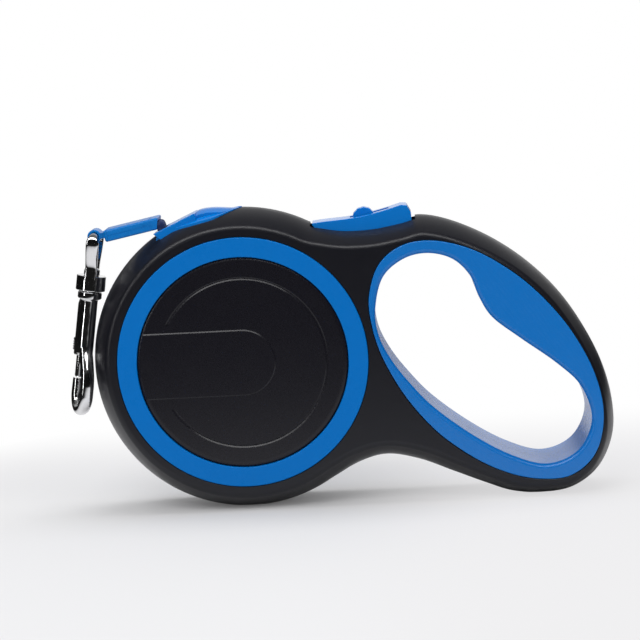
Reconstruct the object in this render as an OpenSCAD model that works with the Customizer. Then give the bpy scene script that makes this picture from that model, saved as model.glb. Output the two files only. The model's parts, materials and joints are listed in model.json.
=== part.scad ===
// Retractable dog leash: a round reel housing with a hand grip, a wound tape and a swivel snap hook.
// +X runs from the reel to the grip, the decorated front side looks towards -Y, +Z is up.
// The origin is on the floor straight below the reel axle, on the plane where the casing halves meet.

/* [Casing] */
// Radius of the reel flanges, which sets the round part of the casing
reel_r = 45.5; // [44:0.5:60]
// Thickness of the casing over its two side faces
casing_depth = 34; // [32:0.5:44]
// How far the grip reaches beyond the round part of the casing
grip_reach = 80.5; // [72:0.5:100]
// Wall of the casing shells
wall = 2.2; // [1.8:0.1:2.8]
// Height of the flat that the casing stands on, cut from its round bottom
foot_cut = 0.8; // [0.4:0.1:1.2]
// How far the side edge lies inside the outline at the reel
crown_reel = 6.2; // [5:0.1:6.6]
// How far the side edge lies inside the outline at the end of the grip
crown_grip = 4.2; // [3.4:0.1:4.6]

/* [Trims] */
// Outer radius of the coloured ring on each side
ring_r = 46.5; // [42:0.5:47]
// Width of the coloured ring
ring_w = 7.3; // [5:0.1:10]
// Wall of the tube that lines the hand opening
liner_wall = 1.6; // [1.2:0.1:1.6]
// Depth of the recesses that the trims sit in
trim_depth = 1.6; // [1.4:0.1:1.8]

/* [Tape] */
// Width of the tape
tape_w = 15; // [12:0.5:18]
// Thickness of the tape
tape_t = 1; // [0.8:0.1:1.2]
// Length of the wound tape
tape_len = 4700; // [3000:100:5000]
// Length of the stiff sleeve on the tape's end
sleeve_len = 21; // [16:0.5:26]
// Thickness of the sleeve
sleeve_t = 4.4; // [4:0.1:5]
// Slope of the sleeve, in degrees
sleeve_tilt = 11; // [8:0.5:14]

/* [Reel] */
// Outer radius of the drum that the tape is wound on
core_r = 20; // [18:0.5:22]
// Wall of the drum
core_wall = 1.6; // [1.2:0.1:2]
// Thickness of each flange
flange_t = 1.5; // [1.2:0.1:2]
// Teeth around each flange
teeth = 24; // [18:1:32]
// Height of a tooth
tooth_h = 2.1; // [1.6:0.1:2.2]
// Radius of the axle
axle_r = 4; // [3.5:0.1:4.5]
// Radial running clearance of everything that turns
running = 0.05; // [0.03:0.01:0.08]
// Turns of the power spring
spring_turns = 11; // [8:1:14]

/* [Brake button] */
// Width of the brake button
button_w = 14; // [12:0.5:16]
// Angle that the button is pressed by, in degrees
button_travel = 6; // [5:0.5:6]
// Clearance between the button and its slot
button_gap = 0.3; // [0.2:0.05:0.5]
// Radius of the pins that the button and the pawl turn on
pivot_r = 1.4; // [1.2:0.1:1.6]

/* [Snap hook] */
// Angle of the hook from upright, in degrees
hook_lean = 9; // [8:0.5:14]
// Turn of the hook about its own length, in degrees
hook_turn = 66; // [60:1:80]
// Radius of the eye's wire
eye_r = 1.5; // [1.3:0.1:1.6]
// Inner width of the eye
eye_w = 14; // [12:0.5:18]
// Radius of the hook's barrel
barrel_r = 3.2; // [3:0.1:3.4]
// Radius of the sliding bolt
bolt_r = 1.4; // [1.2:0.1:1.6]
// Travel of the bolt
bolt_travel = 7; // [5:0.5:8]

/* [Hidden] */
$fn = 64;

BLACK = [0.07, 0.07, 0.08];
BLUE = [0.0, 0.42, 0.8];
NAVY = [0.03, 0.1, 0.3];
STEEL = [0.75, 0.76, 0.78];

// Reel, from the inside out
tooth_r = reel_r + tooth_h;
casing_r = reel_r + 11;
axle_z = casing_r - foot_cut;
half = casing_depth / 2;
plate_in = half - trim_depth - wall;       // inner face of the plates behind the trims
flange_in = tape_w / 2 + 0.6;
flange_out = flange_in + flange_t;
coil_r = sqrt(core_r * core_r + tape_len * tape_t / PI);
axle_boss = 1.6;                           // height of the bosses that hold the axle
washer_t = 0.4;
bearing_y = plate_in - axle_boss - washer_t - 0.2;
tooth_share = 0.34;

// Grip: its points are drawn for a reach of 80.5 and a casing of 56.5, and follow both
drawn_reach = 80.5;
drawn_r = 56.5;
function grip_x(x) = casing_r + (x < drawn_r ? x - drawn_r : (x - drawn_r) * grip_reach / drawn_reach);
function grip_z(z) = z * casing_r / drawn_r;
function grip(p) = [grip_x(p.x), grip_z(p.y)];
function on_casing(a) = [casing_r * cos(a), axle_z + casing_r * sin(a)];

// Lowest to highest round the grip, from the underside of the waist to the saddle under the button
GRIP_OUTLINE = [[41.5, 14], [52, 16.4], [64, 13.9], [76, 8.9], [88, 3.9], [98, 0.3], [109, -0.8], [121, 1],
    [131, 8.2], [136.6, 20], [137, 33], [133.6, 47.6], [127, 62], [118.3, 75.3], [107, 87], [94, 96.4],
    [80, 103.2], [68.5, 106], [60, 104.5], [50, 103], [40, 102.9], [32, 104.2]];
GRIP_OPENING = [[128, 28], [124.6, 40.5], [116, 49.6], [103, 59.6], [93, 67.8], [88.4, 75.5], [85.2, 84],
    [79, 90.3], [70, 92.8], [61, 91], [53.2, 84.5], [50, 73], [50.8, 63.2], [55, 54], [61.4, 45],
    [70, 35.4], [84, 24.3], [98, 16.1], [111, 12.3], [122.5, 16.8]];
LINER_EDGE = [[132.4, 30], [129.5, 45.8], [121.5, 61.9], [111, 75.3], [99.5, 85.6], [86, 93.7], [72, 97.5],
    [60.5, 96.1], [51.8, 89.3], [47.8, 77.5], [48.6, 66], [52.2, 54], [60, 39.5], [70.5, 26.6],
    [82.4, 17], [94.5, 10.4], [107, 7], [119.5, 7.7], [129, 15.8]];
join_low = 303;                            // angles at which the grip leaves the round casing
join_high = 62;
join_step = 11;

// Smooth curve through points
function bend(a, b, c, d, t) =
    0.5 * ((2 * b) + (c - a) * t + (2 * a - 5 * b + 4 * c - d) * t * t + (3 * b - a - 3 * c + d) * t * t * t);
function closed_curve(p, n) = let (m = len(p))
    [for (i = [0:m - 1], k = [0:n - 1]) bend(p[(i + m - 1) % m], p[i], p[(i + 1) % m], p[(i + 2) % m], k / n)];
function open_curve(p, n) =
    [for (i = [1:len(p) - 3], k = [0:n - 1]) bend(p[i - 1], p[i], p[i + 1], p[i + 2], k / n)];
function unit(v) = v / norm(v);
// Outward normal at point i of a closed outline that runs anticlockwise
function outward(p, i) = let (m = len(p), d = unit(p[(i + 1) % m] - p[(i + m - 1) % m])) [d.y, -d.x];
function grown(p, by) = [for (i = [0:len(p) - 1]) p[i] + outward(p, i) * by];

GRIP_CURVE = open_curve(concat([on_casing(join_low - join_step), on_casing(join_low)],
    [for (p = GRIP_OUTLINE) grip(p)], [on_casing(join_high), on_casing(join_high + join_step)]), 3);
// one point of the round part lies straight below the axle, where the foot is flat
arc_step = (270 - join_high) / 40;
OUTLINE = concat(GRIP_CURVE, [for (a = [join_high:arc_step:join_low - 1]) on_casing(a)]);
OPENING = closed_curve([for (p = GRIP_OPENING) grip(p)], 4);
LINER_OUT = closed_curve([for (p = LINER_EDGE) grip(p)], 4);

function crown_at(x) = let (t = min(1, max(0, (x - 50) / 70)))
    crown_reel + (crown_grip - crown_reel) * t * t * (3 - 2 * t);
// Section of the casing at depth y, drawn in by the crown and by an inner wall
function section(y, inner) = [for (i = [0:len(OUTLINE) - 1]) let (p = OUTLINE[i],
    q = p - outward(OUTLINE, i) * (crown_at(p.x) * pow(y / half, 2) + inner))
    [q.x, -y, max(q.y, inner)]];

// Solid between sections, from the parting plane out to the side face
module loft(sections) {
    m = len(sections[0]);
    k = len(sections);
    polyhedron(points = [for (s = sections) each s],
        faces = concat([[for (i = [0:m - 1]) i]], [[for (i = [m - 1:-1:0]) (k - 1) * m + i]],
            [for (j = [0:k - 2], i = [0:m - 1]) let (a = j * m + i, b = j * m + (i + 1) % m)
                each [[a, a + m, b], [b, a + m, b + m]]]), convexity = 6);
}

// A flat shape in X and Z, extruded between two depths
module slab(y0, y1) { translate([0, y1, 0]) rotate([90, 0, 0]) linear_extrude(y1 - y0) children(); }
// A round bar along Y
module rod(p, r, y0, y1) { translate([p.x, y1, p.y]) rotate([90, 0, 0]) cylinder(r = r, h = y1 - y0); }
module pipe(p, r, bore, y0, y1) { difference() { rod(p, r, y0, y1); rod(p, bore, y0 - 1, y1 + 1); } }
// A profile of radius and depth, turned about an axis along Y through p
module turned(p, profile) {
    translate([p.x, 0, p.y]) rotate([-90, 0, 0]) rotate_extrude($fn = 96) polygon(profile);
}
module mirrored(rear) { if (rear) mirror([0, 1, 0]) children(); else children(); }

AXLE = [0, axle_z];

// Casing screws: low at the waist, and two under the grip liner's rim
SCREWS = [grip([46, 27.5]), grip([88, 16.5]), grip([103.5, 74])];
// Slot in the top of the casing that the brake button sits in
SLOT = [[27.2, 92.6], [37, 92.6], [41, 91], [66.4, 98.6], [66.4, 113], [27.2, 113]];
screw_r = 1.3;
screw_head_r = 2;
screw_head_h = 1.5;
boss_r = 2.9;
axle_head_r = 3.4;
axle_head_h = 1.2;

// Brake button, pawl and lock
BUTTON_AXIS = grip([33.5, 96.5]);
PAWL_AXIS = grip([51.5, 94]);
LOCK_RIB = grip([63.6, 97.4]);
SPRING_SEAT = grip([44.1, 82.6]);
button_slot = button_w / 2 + button_gap;
pivot_end = button_slot + 3.6;

// Tip of the brake pawl, just clear of the teeth
TIP = [grip_x(32.9), axle_z + sqrt(pow(tooth_r + 0.4, 2) - pow(grip_x(32.9), 2))];
press_x = grip_x(44.5);                    // where the button pushes the pawl
pawl_travel = button_travel * (press_x - BUTTON_AXIS.x) / (PAWL_AXIS.x - press_x);
function swung(p, about, angle) = let (d = p - about)
    about + [d.x * cos(angle) + d.y * sin(angle), d.y * cos(angle) - d.x * sin(angle)];
TIP_DOWN = swung(TIP, PAWL_AXIS, -0.7 * pawl_travel);

// Tape: it leaves the coil on a tangent and runs straight to the mouth of the nozzle
MOUTH = [-25.6, axle_z + sqrt(pow(casing_r - 0.7, 2) - pow(25.6, 2)) - 0.4];
mouth_v = [0, axle_z] - MOUTH;
lead_r = coil_r + 0.3 + tape_t / 2;
lead_angle = atan2(mouth_v.y, mouth_v.x) + asin(lead_r / norm(mouth_v));
lead_len = sqrt(pow(norm(mouth_v), 2) - lead_r * lead_r);
LEAD = [cos(lead_angle), sin(lead_angle)];
LEAVE = MOUTH + LEAD * lead_len;
LEAD_UP = [-LEAD.y, LEAD.x];
guide_r = 1.5;
GUIDE = MOUTH - LEAD_UP * (guide_r + tape_t / 2 + 0.3);
PULL = [-cos(sleeve_tilt), -sin(sleeve_tilt)];
PULL_UP = [-sin(sleeve_tilt), cos(sleeve_tilt)];
SLEEVE_END = MOUTH + [-3.2, 3.3];
SLEEVE_FAR = SLEEVE_END + PULL * sleeve_len;
loop_r = eye_r + running + tape_t;
LOOP = SLEEVE_FAR + PULL * (loop_r + 1.2) + PULL_UP * 0.8;
loop_w = 9.5;
hook_y = -2;                               // the hook hangs a little to the front in its loop

// Casing shells
module shell(rear) {
    mirrored(rear) difference() {
        union() {
            difference() {
                loft([for (t = [0, 0.35, 0.6, 0.8, 0.93, 1]) section(half * t, 0)]);
                for (t = [1 / 3, 2 / 3, 1])
                    slab(-plate_in * t, 0.01) polygon([for (q = section(plate_in * t, wall)) [q.x, q.z]]);
            }
            // wall round the hand opening
            slab(-plate_in - 0.5, 0) polygon(grown(OPENING, liner_wall + 1.3));
            for (p = SCREWS) rod(p, boss_r, -plate_in - 0.5, 0);
            rod(BUTTON_AXIS, pivot_r + 1.2, -plate_in - 0.5, -button_slot - 0.2);
            rod(PAWL_AXIS, pivot_r + 1.2, -plate_in - 0.5, -5.3);
            // shelf under the pawl's spring
            slab(-plate_in - 0.5, 0) translate(SPRING_SEAT - [2.5, 1.6]) square([5, 1.6]);
            // rib that the lock slides under
            slab(-plate_in - 0.5, 0) translate(LOCK_RIB) square([6, 1]);
            // boss that holds the axle
            rod(AXLE, axle_r + 2.4, -plate_in - 0.5, -plate_in + axle_boss);
        }
        rod(AXLE, axle_r + 0.02, -plate_in, 0);
        // recess for the ring and the disc, and the hole for the axle screw
        rod(AXLE, ring_r + 0.05, -half - 1, -half + trim_depth);
        rod(AXLE, screw_r + 0.2, -half, 0);
        rod(AXLE, axle_head_r + 0.2, -half, -half + trim_depth + axle_head_h);
        // recess for the liner's rim, and the hole for its tube
        slab(-half - 1, -half + trim_depth + 0.2) polygon(grown(LINER_OUT, 0.1));
        slab(-half - 1, 1) polygon(grown(OPENING, liner_wall + 0.1));
        // saddle slot for the brake button
        slab(-button_slot, 1) polygon([for (p = SLOT) grip(p)]);
        for (p = [BUTTON_AXIS, PAWL_AXIS]) rod(p, pivot_r + 0.02, -pivot_end - 0.1, 0);
        // seat of the tape nozzle, and the way through it for the tape
        nozzle_seat(0.05);
        for (p = SCREWS) {
            rod(p, rear ? screw_r + 0.2 : screw_r, -half + (rear ? -1 : 3), 1);
            if (rear) rod(p, screw_head_r + 0.15, -half - 1, -half + trim_depth + 0.3 + screw_head_h);
        }
    }
}

// Plan outline of the nozzle's saddle: blunt at the mouth, wide in the middle, pointed at the back
NOZZLE_PLAN = [[-30, 8.4], [-24, 9.4], [-16, 11.4], [-9, 11.4], [-4, 8.6], [0, 4.4], [2, 0.6]];
nozzle_in = casing_r - 3.6;
module nozzle_plan(grow) {
    translate([0, 0, axle_z]) linear_extrude(casing_r + 10) polygon([for (s = [1, -1], i = [0:len(NOZZLE_PLAN) - 1])
        let (p = NOZZLE_PLAN[s > 0 ? i : len(NOZZLE_PLAN) - 1 - i]) [p.x + (p.x < -28 ? -grow : grow), s * (p.y + grow)]]);
}
module nozzle_seat(grow) {
    intersection() {
        turned(AXLE, [[nozzle_in - grow, -half], [casing_r + 3, -half], [casing_r + 3, half], [nozzle_in - grow, half]]);
        nozzle_plan(grow);
    }
    slab(-flange_out - grow, flange_out + grow) polygon(throat(grow));
}
// Throat of the nozzle inside the casing
function throat(grow) = [for (q = [[-30.4, 1.2], [-15, 1.2], [-15, -4.6], [-28.8, -4.6]])
    let (a = atan2(sqrt(casing_r * casing_r - q.x * q.x), q.x))
    AXLE + (casing_r + q.y + (q.y > 0 ? grow : -grow)) * [cos(a), sin(a)] + [q.x > -20 ? grow : -grow, 0]];
function crown_profile(rise) = [for (t = [-0.72:0.12:0.73]) [casing_r + rise - crown_reel * t * t, half * t]];

module tape_nozzle() color(BLUE) difference() {
    union() {
        intersection() {
            turned(AXLE, concat([[nozzle_in, -half * 0.72]], crown_profile(0.5), [[nozzle_in, half * 0.72]]));
            nozzle_plan(0);
        }
        intersection() {
            turned(AXLE, concat([[nozzle_in, -half * 0.72]], crown_profile(1.2), [[nozzle_in, half * 0.72]]));
            translate([-16.5, -8.6, axle_z]) cube([10.7, 17.2, casing_r + 10]);
        }
        slab(-flange_out, flange_out) polygon(throat(0));
    }
    // way through for the tape, flared at the mouth
    slab(-tape_w / 2 - 0.3, tape_w / 2 + 0.3) polygon([MOUTH - LEAD * 9 + LEAD_UP * 4.6,
        MOUTH - LEAD * 9 - LEAD_UP * 1.6, MOUTH - LEAD_UP * 1.1, MOUTH + LEAD * 16 - LEAD_UP * 2,
        MOUTH + LEAD * 16 + LEAD_UP * 1.4, MOUTH + LEAD * 1 + LEAD_UP * 1.2]);
    rod(GUIDE, guide_r + 0.02, -tape_w / 2 - 1.3, tape_w / 2 + 1.3);
    rod(GUIDE, guide_r + 0.5, -tape_w / 2 - 0.3, tape_w / 2 + 0.3);
}
module guide_pin() color(STEEL) rod(GUIDE, guide_r, -tape_w / 2 - 1.2, tape_w / 2 + 1.2);

module front_casing() color(BLACK) shell(false);
module rear_casing() color(BLACK) shell(true);

// Ring, disc and grip liner
ring_rise = 0.4;
module ring(rear) color(BLUE) mirrored(rear) turned(AXLE, [[ring_r - ring_w, -half + trim_depth],
    [ring_r, -half + trim_depth], [ring_r, -half], [ring_r - 0.5, -half - ring_rise],
    [ring_r - ring_w + 0.5, -half - ring_rise], [ring_r - ring_w, -half]]);
module front_ring() ring(false);
module rear_ring() ring(true);

disc_r = ring_r - ring_w - 0.05;
groove_r = 31.5;
groove = 0.4;
tongue_r = 12.2;
module disc(rear) color(BLACK) mirrored(rear) {
    difference() {
        turned(AXLE, [[0, -half + trim_depth], [disc_r, -half + trim_depth], [disc_r, -half + 0.8],
            [disc_r - 0.8, -half], [0, -half]]);
        // groove, left out beside the tongue
        difference() {
            turned(AXLE, [[groove_r - groove, -half - 1], [groove_r, -half - 1], [groove_r, -half + 0.3],
                [groove_r - groove, -half + 0.3]]);
            translate([-disc_r - 1, -half - 2, axle_z - tongue_r - 3.5]) cube([disc_r, 4, 2 * tongue_r + 7]);
        }
    }
    // low round-ended tongue that runs from the rim
    slab(-half - 0.3, -half + 0.2) translate(AXLE) intersection() {
        circle(disc_r - 0.9, $fn = 96);
        union() {
            circle(tongue_r);
            translate([-disc_r, -tongue_r]) square([disc_r, 2 * tongue_r]);
        }
    }
}
module front_disc() disc(false);
module rear_disc() disc(true);

module grip_liner(rear) color(BLUE) mirrored(rear) difference() {
    union() {
        slab(-half - 0.3, -half + trim_depth + 0.1) polygon(LINER_OUT);
        slab(-half, -0.02) polygon(grown(OPENING, liner_wall));
    }
    slab(-half - 1, 1) polygon(OPENING);
}
module front_grip_liner() grip_liner(false);
module rear_grip_liner() grip_liner(true);

// Axle, screws and pins
module axle_post() color(STEEL) difference() {
    rod(AXLE, axle_r, -plate_in + 0.05, plate_in - 0.05);
    for (s = [-1, 1]) rod(AXLE, screw_r, s * plate_in - 7, s * plate_in + 7);
    // slot for the spring's inner end
    slab(-spring_w / 2 - 0.3, spring_w / 2 + 0.3) translate(AXLE - [0.4, 0]) square([0.8, axle_r + 1]);
}
module axle_screws() color(STEEL) for (rear = [false, true]) mirrored(rear) {
    rod(AXLE, axle_head_r, -half + trim_depth + 0.05, -half + trim_depth + axle_head_h - 0.02);
    rod(AXLE, screw_r - 0.02, -half + trim_depth + 0.5, -plate_in + 6.5);
}
module thrust_washers() color(STEEL) for (rear = [false, true]) mirrored(rear)
    pipe(AXLE, axle_r + 2.2, axle_r + running, -bearing_y - washer_t - 0.1, -bearing_y - 0.1);
module casing_screws() color(STEEL) for (p = SCREWS) {
    difference() {
        rod(p, screw_head_r, half - trim_depth - 0.2 - screw_head_h, half - trim_depth - 0.3);
        slab(half - trim_depth - 1, half) union() {
            translate(p - [1.3, 0.25]) square([2.6, 0.5]);
            translate(p - [0.25, 1.3]) square([0.5, 2.6]);
        }
    }
    rod(p, screw_r - 0.02, -half + 6, half - trim_depth - screw_head_h);
}
module button_pin() color(STEEL) rod(BUTTON_AXIS, pivot_r, -pivot_end, pivot_end);
module pawl_pin() color(STEEL) rod(PAWL_AXIS, pivot_r, -pivot_end, pivot_end);

// Coil spring that stands on its seat: end rings joined by turns, as one ring for each turn
module coil(r, wire, length, turns) {
    pitch = (length - 2 * wire) / turns;
    for (i = [0:turns]) translate([0, 0, wire + i * pitch]) rotate_extrude($fn = 32) translate([r, 0])
        circle(wire, $fn = 14);
    for (i = [0:turns - 1]) rotate([0, 0, i * 140]) translate([r, 0, wire + i * pitch])
        cylinder(r = wire * 0.8, h = pitch, $fn = 14);
}
pawl_under = grip_z(91.8);
module pawl_spring() color(STEEL) translate([SPRING_SEAT.x, 0, SPRING_SEAT.y + 0.05])
    coil(1.7, 0.3, pawl_under - SPRING_SEAT.y - 0.1, 6);

// Reel
spring_w = tape_w - 2;
spring_t = 0.35;
hub_r = axle_r + 2.2;
BRAKE_ANGLE = atan2(TIP_DOWN.y - axle_z, TIP_DOWN.x);
function tooth_ring() = [for (i = [0:teeth - 1]) let (a = BRAKE_ANGLE + (i + 0.5) * 360 / teeth,
    w = tooth_share * 180 / teeth)
    each [for (q = [[-1.35, reel_r], [-1, tooth_r], [1, tooth_r], [1.35, reel_r]])
        AXLE + q.y * [cos(a + q.x * w), sin(a + q.x * w)]]];
module flange_plate(y0, y1) {
    difference() {
        slab(y0, y1) polygon(tooth_ring());
        rod(AXLE, axle_r + running, y0 - 1, y1 + 1);
        // holes that lighten the flange
        for (i = [0:5]) rod(AXLE + (core_r + reel_r) / 2 * [cos(60 * i), sin(60 * i)], 6, y0 - 1, y1 + 1);
    }
}
module reel_drum() color([0.1, 0.1, 0.11]) {
    flange_plate(-flange_out, -flange_in);
    pipe(AXLE, hub_r, axle_r + running, -bearing_y, -flange_out + 0.2);
    pipe(AXLE, core_r, core_r - core_wall, -flange_in - 0.2, flange_in - 0.02);
}
module rear_flange() color([0.1, 0.1, 0.11]) {
    flange_plate(flange_in, flange_out);
    pipe(AXLE, hub_r, axle_r + running, flange_out - 0.2, bearing_y);
    pipe(AXLE, core_r - core_wall - 0.05, core_r - core_wall - 1, spring_w / 2 + 0.3, flange_in + 0.2);
}
spring_in = axle_r + 0.5;
spring_out = core_r - core_wall - spring_t - 0.3;
function spiral(shift) = [for (a = [0:20:360 * spring_turns])
    AXLE + (spring_in + shift + (spring_out - spring_in) * a / (360 * spring_turns)) * [cos(a), sin(a)]];
module power_spring() color(STEEL) slab(-spring_w / 2, spring_w / 2)
    polygon(concat(spiral(spring_t), [for (i = [len(spiral(0)) - 1:-1:0]) spiral(0)[i]]));
module tape_coil() color(NAVY) pipe(AXLE, coil_r, core_r + 0.02, -tape_w / 2, tape_w / 2);

// Tape from the coil to the sleeve
module ribbon(path, w) {
    m = len(path) - 1;
    up = [for (i = [0:m]) let (d = unit(path[min(m, i + 1)] - path[max(0, i - 1)])) [-d.y, d.x] * tape_t / 2];
    slab(-w / 2, w / 2) polygon(concat([for (i = [0:m]) path[i] + up[i]], [for (i = [m:-1:0]) path[i] - up[i]]));
}
NECK = open_curve([MOUTH + LEAD * 4, MOUTH - LEAD * 0.3, MOUTH - LEAD * 1.4 + [0, 0.5], SLEEVE_END - PULL * 0.6,
    SLEEVE_END + PULL * 2.5, SLEEVE_END + PULL * 6], 4);
module tape_run() color(NAVY) ribbon([LEAVE - LEAD * 2, MOUTH], tape_w);
module tape_neck() color(NAVY) ribbon(NECK, tape_w - 0.6);

// Sleeve and loop on the tape's end
module in_pull(at) { translate([at.x, 0, at.y]) rotate([0, -sleeve_tilt, 0]) children(); }
module tape_sleeve() color(BLUE) difference() {
    in_pull(SLEEVE_END) translate([-sleeve_len, 0, 0]) rotate([0, 90, 0]) linear_extrude(sleeve_len)
        polygon([for (s = [[1, 1], [-1, 1], [-1, -1], [1, -1]]) each
            [for (q = s.x * s.y > 0 ? [[0, 0.8], [0.8, 0]] : [[0.8, 0], [0, 0.8]])
                [s.x * (sleeve_t / 2 - q.x), s.y * ((tape_w + 1) / 2 - q.y)]]]);
    in_pull(SLEEVE_END) translate([-4.4, -tape_w / 2, -tape_t / 2 - 0.35]) cube([6, tape_w, tape_t + 0.7]);
    in_pull(SLEEVE_FAR) translate([-1, hook_y - loop_w / 2 - 0.05, -tape_t - 0.45])
        cube([5, loop_w + 0.1, 2 * tape_t + 1.7]);
}
module tape_loop() color(BLUE) translate([0, hook_y, 0]) difference() {
    union() {
        rod(LOOP, loop_r, -loop_w / 2, loop_w / 2);
        slab(-loop_w / 2, loop_w / 2) polygon([LOOP + PULL_UP * tape_t, SLEEVE_FAR - PULL * 3.5 + PULL_UP * 1.2,
            SLEEVE_FAR - PULL * 3.5 - PULL_UP * (2 * tape_t - 0.9), LOOP - PULL_UP * tape_t]);
    }
    rod(LOOP, eye_r + running, -loop_w, loop_w);
}

// Brake button, lock and pawl
BUTTON_SIDE = [[28, 105.9], [33, 106], [41, 106.3], [48, 107.2], [55, 108.7], [61.6, 110.4], [63.4, 110.2],
    [64.9, 107.5], [65.1, 102.1], [57, 102.1], [56, 100.4], [37.4, 99.5], [36.4, 96.5], [30.6, 96.5],
    [30.2, 101.5], [28, 104.6]];
BUTTON_HOLLOW = [[31.4, 93], [31.4, 103.4], [57.6, 103.4], [59, 107], [62.4, 108.3], [63.3, 106], [63.3, 93]];
LOCK_AT = grip([47.3, 105.3]);
lock_travel = 3.5;
module part_slab(w, points) slab(-w / 2, w / 2) polygon([for (p = points) grip(p)]);
module brake_button() color(BLUE) difference() {
    union() {
        difference() {
            union() {
                part_slab(button_w, BUTTON_SIDE);
                rod(BUTTON_AXIS, 2.9, -button_w / 2, button_w / 2);
            }
            part_slab(button_w - 3.2, BUTTON_HOLLOW);
            rod(BUTTON_AXIS, 3.4, -button_w / 2 + 2.6, button_w / 2 - 2.6);
        }
        // nose that pushes the pawl
        rod([press_x, grip_z(98.1)], 0.85, -2.2, 2.2);
        slab(-2.2, 2.2) translate([press_x - 0.85, grip_z(98.1)]) square([1.7, grip_z(103.6) - grip_z(98.1)]);
    }
    rod(BUTTON_AXIS, pivot_r + running, -button_w, button_w);
    // track of the lock, and the slot for its stem
    translate([LOCK_AT.x - 5.2, -3.2, LOCK_AT.y - 0.3]) cube([14.6, 6.4, 20]);
    translate([LOCK_AT.x - 1.8, -1.6, grip_z(103.4) - 2.1]) cube([lock_travel + 3.6, 3.2, LOCK_AT.y + 4.1 - grip_z(103.4)]);
}
module lock_slider() color(BLUE) {
    intersection() {
        rod(LOCK_AT + [0, 0.4], 4.3, -2.8, 2.8);
        translate([LOCK_AT.x - 6, -3, LOCK_AT.y]) cube([12, 6, 6]);
    }
    // stem, plate, lug and the toe that catches under the casing's rib
    foot = LOCK_RIB.y + 1.3;
    plate_top = grip_z(103.4) - 0.3;
    translate([LOCK_AT.x - 1.5, -1.3, plate_top - 1.2]) cube([3, 2.6, LOCK_AT.y + 1.6 - plate_top]);
    translate([LOCK_AT.x - 1.5, -3.6, plate_top - 1.2]) cube([13.4, 7.2, 1.2]);
    translate([LOCK_AT.x + 10.7, -3.6, foot]) cube([1.2, 7.2, plate_top - foot]);
    translate([LOCK_AT.x + 10.7, -3.6, foot]) cube([3.3, 7.2, 1]);
}
module brake_pawl() color([0.55, 0.56, 0.58]) difference() {
    union() {
        rod(PAWL_AXIS, 3.1, -5, 5);
        slab(-2.5, 2.5) polygon(concat([for (p = [[51.5, 97.1], [43, 97.1], [40, 95.6], [36.8, 94.7],
            [31.6, 93.6]]) grip(p)], [TIP + [-1.3, 1.2], TIP + [3.2, 1]], [for (p = [[41, 91.8], [47.5, 91.8], [51.5, 90.9]]) grip(p)]));
        slab(-flange_out - 0.2, flange_out + 0.2) polygon([TIP + [-1.5, 2.3], TIP + [-1.4, 1.2], TIP,
            TIP + [3.2, 1], TIP + [2.9, 2.4]]);
    }
    rod(PAWL_AXIS, pivot_r + running, -6, 6);
}

// Snap hook, drawn hanging from its loop along -Z with its opening towards -X
rivet_r = 1.9;
boss_top = 15;
boss_end = 20.6;
collar_end = 24.4;
barrel_end = 45;
BOLT_U = -4.6;
bolt_top = 40;
bolt_tip = 54.4;
bore_top = 28;
bowl_r = 5.9;
bowl_w = 60;
wire_r = 2;
// The hook hangs against the casing, so it leans further out beside a larger one
hang_lean = hook_lean + (casing_r - drawn_r) * 1.1;
module hook_frame(turn) {
    translate([LOOP.x, hook_y, LOOP.y]) rotate([0, hang_lean, 0]) rotate([0, 0, -turn]) children();
}
module bar(a, b, r, r_end = 0) {
    d = b - a;
    translate(a) rotate([0, acos(d.z / norm(d)), atan2(d.y, d.x)])
        cylinder(r1 = r, r2 = r_end > 0 ? r_end : r, h = norm(d));
}
module swivel_eye() color(STEEL) hook_frame(0) difference() {
    corner = eye_w / 2 + eye_r;
    union() {
        bar([0, -corner, 0], [0, corner, 0], eye_r);
        for (s = [-1, 1]) {
            translate([0, s * corner, 0]) sphere(eye_r);
            bar([0, s * corner, 0], [0, s * 4.6, -boss_top - 1], eye_r);
        }
        translate([0, 0, -boss_end]) cylinder(r = 5.5, h = boss_end - boss_top);
    }
    translate([0, 0, -boss_end - 1]) cylinder(r = rivet_r + running, h = 9);
}
module swivel_rivet() color(STEEL) hook_frame(0) {
    translate([0, 0, -boss_top + 0.1]) cylinder(r = 3, h = 3);
    translate([0, 0, -collar_end - 4]) cylinder(r = rivet_r, h = collar_end + 4 - boss_top + 1);
}
module hook_body() color(STEEL) hook_frame(hook_turn) difference() {
    union() {
        translate([0, 0, -collar_end]) cylinder(r = 4.5, h = collar_end - boss_end - 0.3);
        translate([0, 0, -barrel_end]) cylinder(r = barrel_r, h = barrel_end - collar_end + 1);
        translate([BOLT_U, 0, -barrel_end - 1]) cylinder(r = bolt_r + 1.2, h = barrel_end - bore_top + 3);
        bar([1.4, 0, -barrel_end + 2.2], [bowl_r + 1.3, 0, -bowl_w + 7.5], wire_r);
        translate([bowl_r + 1.3, 0, -bowl_w + 7.5]) sphere(wire_r);
        bar([bowl_r + 1.3, 0, -bowl_w + 7.5], [bowl_r + 1.3, 0, -bowl_w], wire_r);
        translate([1.3, 0, -bowl_w]) rotate([90, 0, 0]) rotate_extrude(angle = 180, start = 180)
            translate([bowl_r, 0]) circle(wire_r);
        translate([BOLT_U, 0, -bowl_w]) cylinder(r1 = wire_r, r2 = bolt_r + 0.5, h = bowl_w - bolt_tip - 0.3);
    }
    translate([0, 0, -collar_end - 5]) cylinder(r = rivet_r + 0.02, h = 12);
    translate([BOLT_U, 0, -barrel_end - 3]) cylinder(r = bolt_r + running, h = barrel_end - bore_top + 3);
    // slot for the bolt's thumb piece
    translate([BOLT_U - 6, -0.9, -barrel_end - 3]) cube([6, 1.8, 15.4]);
    // seat for the bolt's tip
    translate([BOLT_U, 0, -bolt_tip - 0.3]) cylinder(r = bolt_r + 0.3, h = 2);
}
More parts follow.
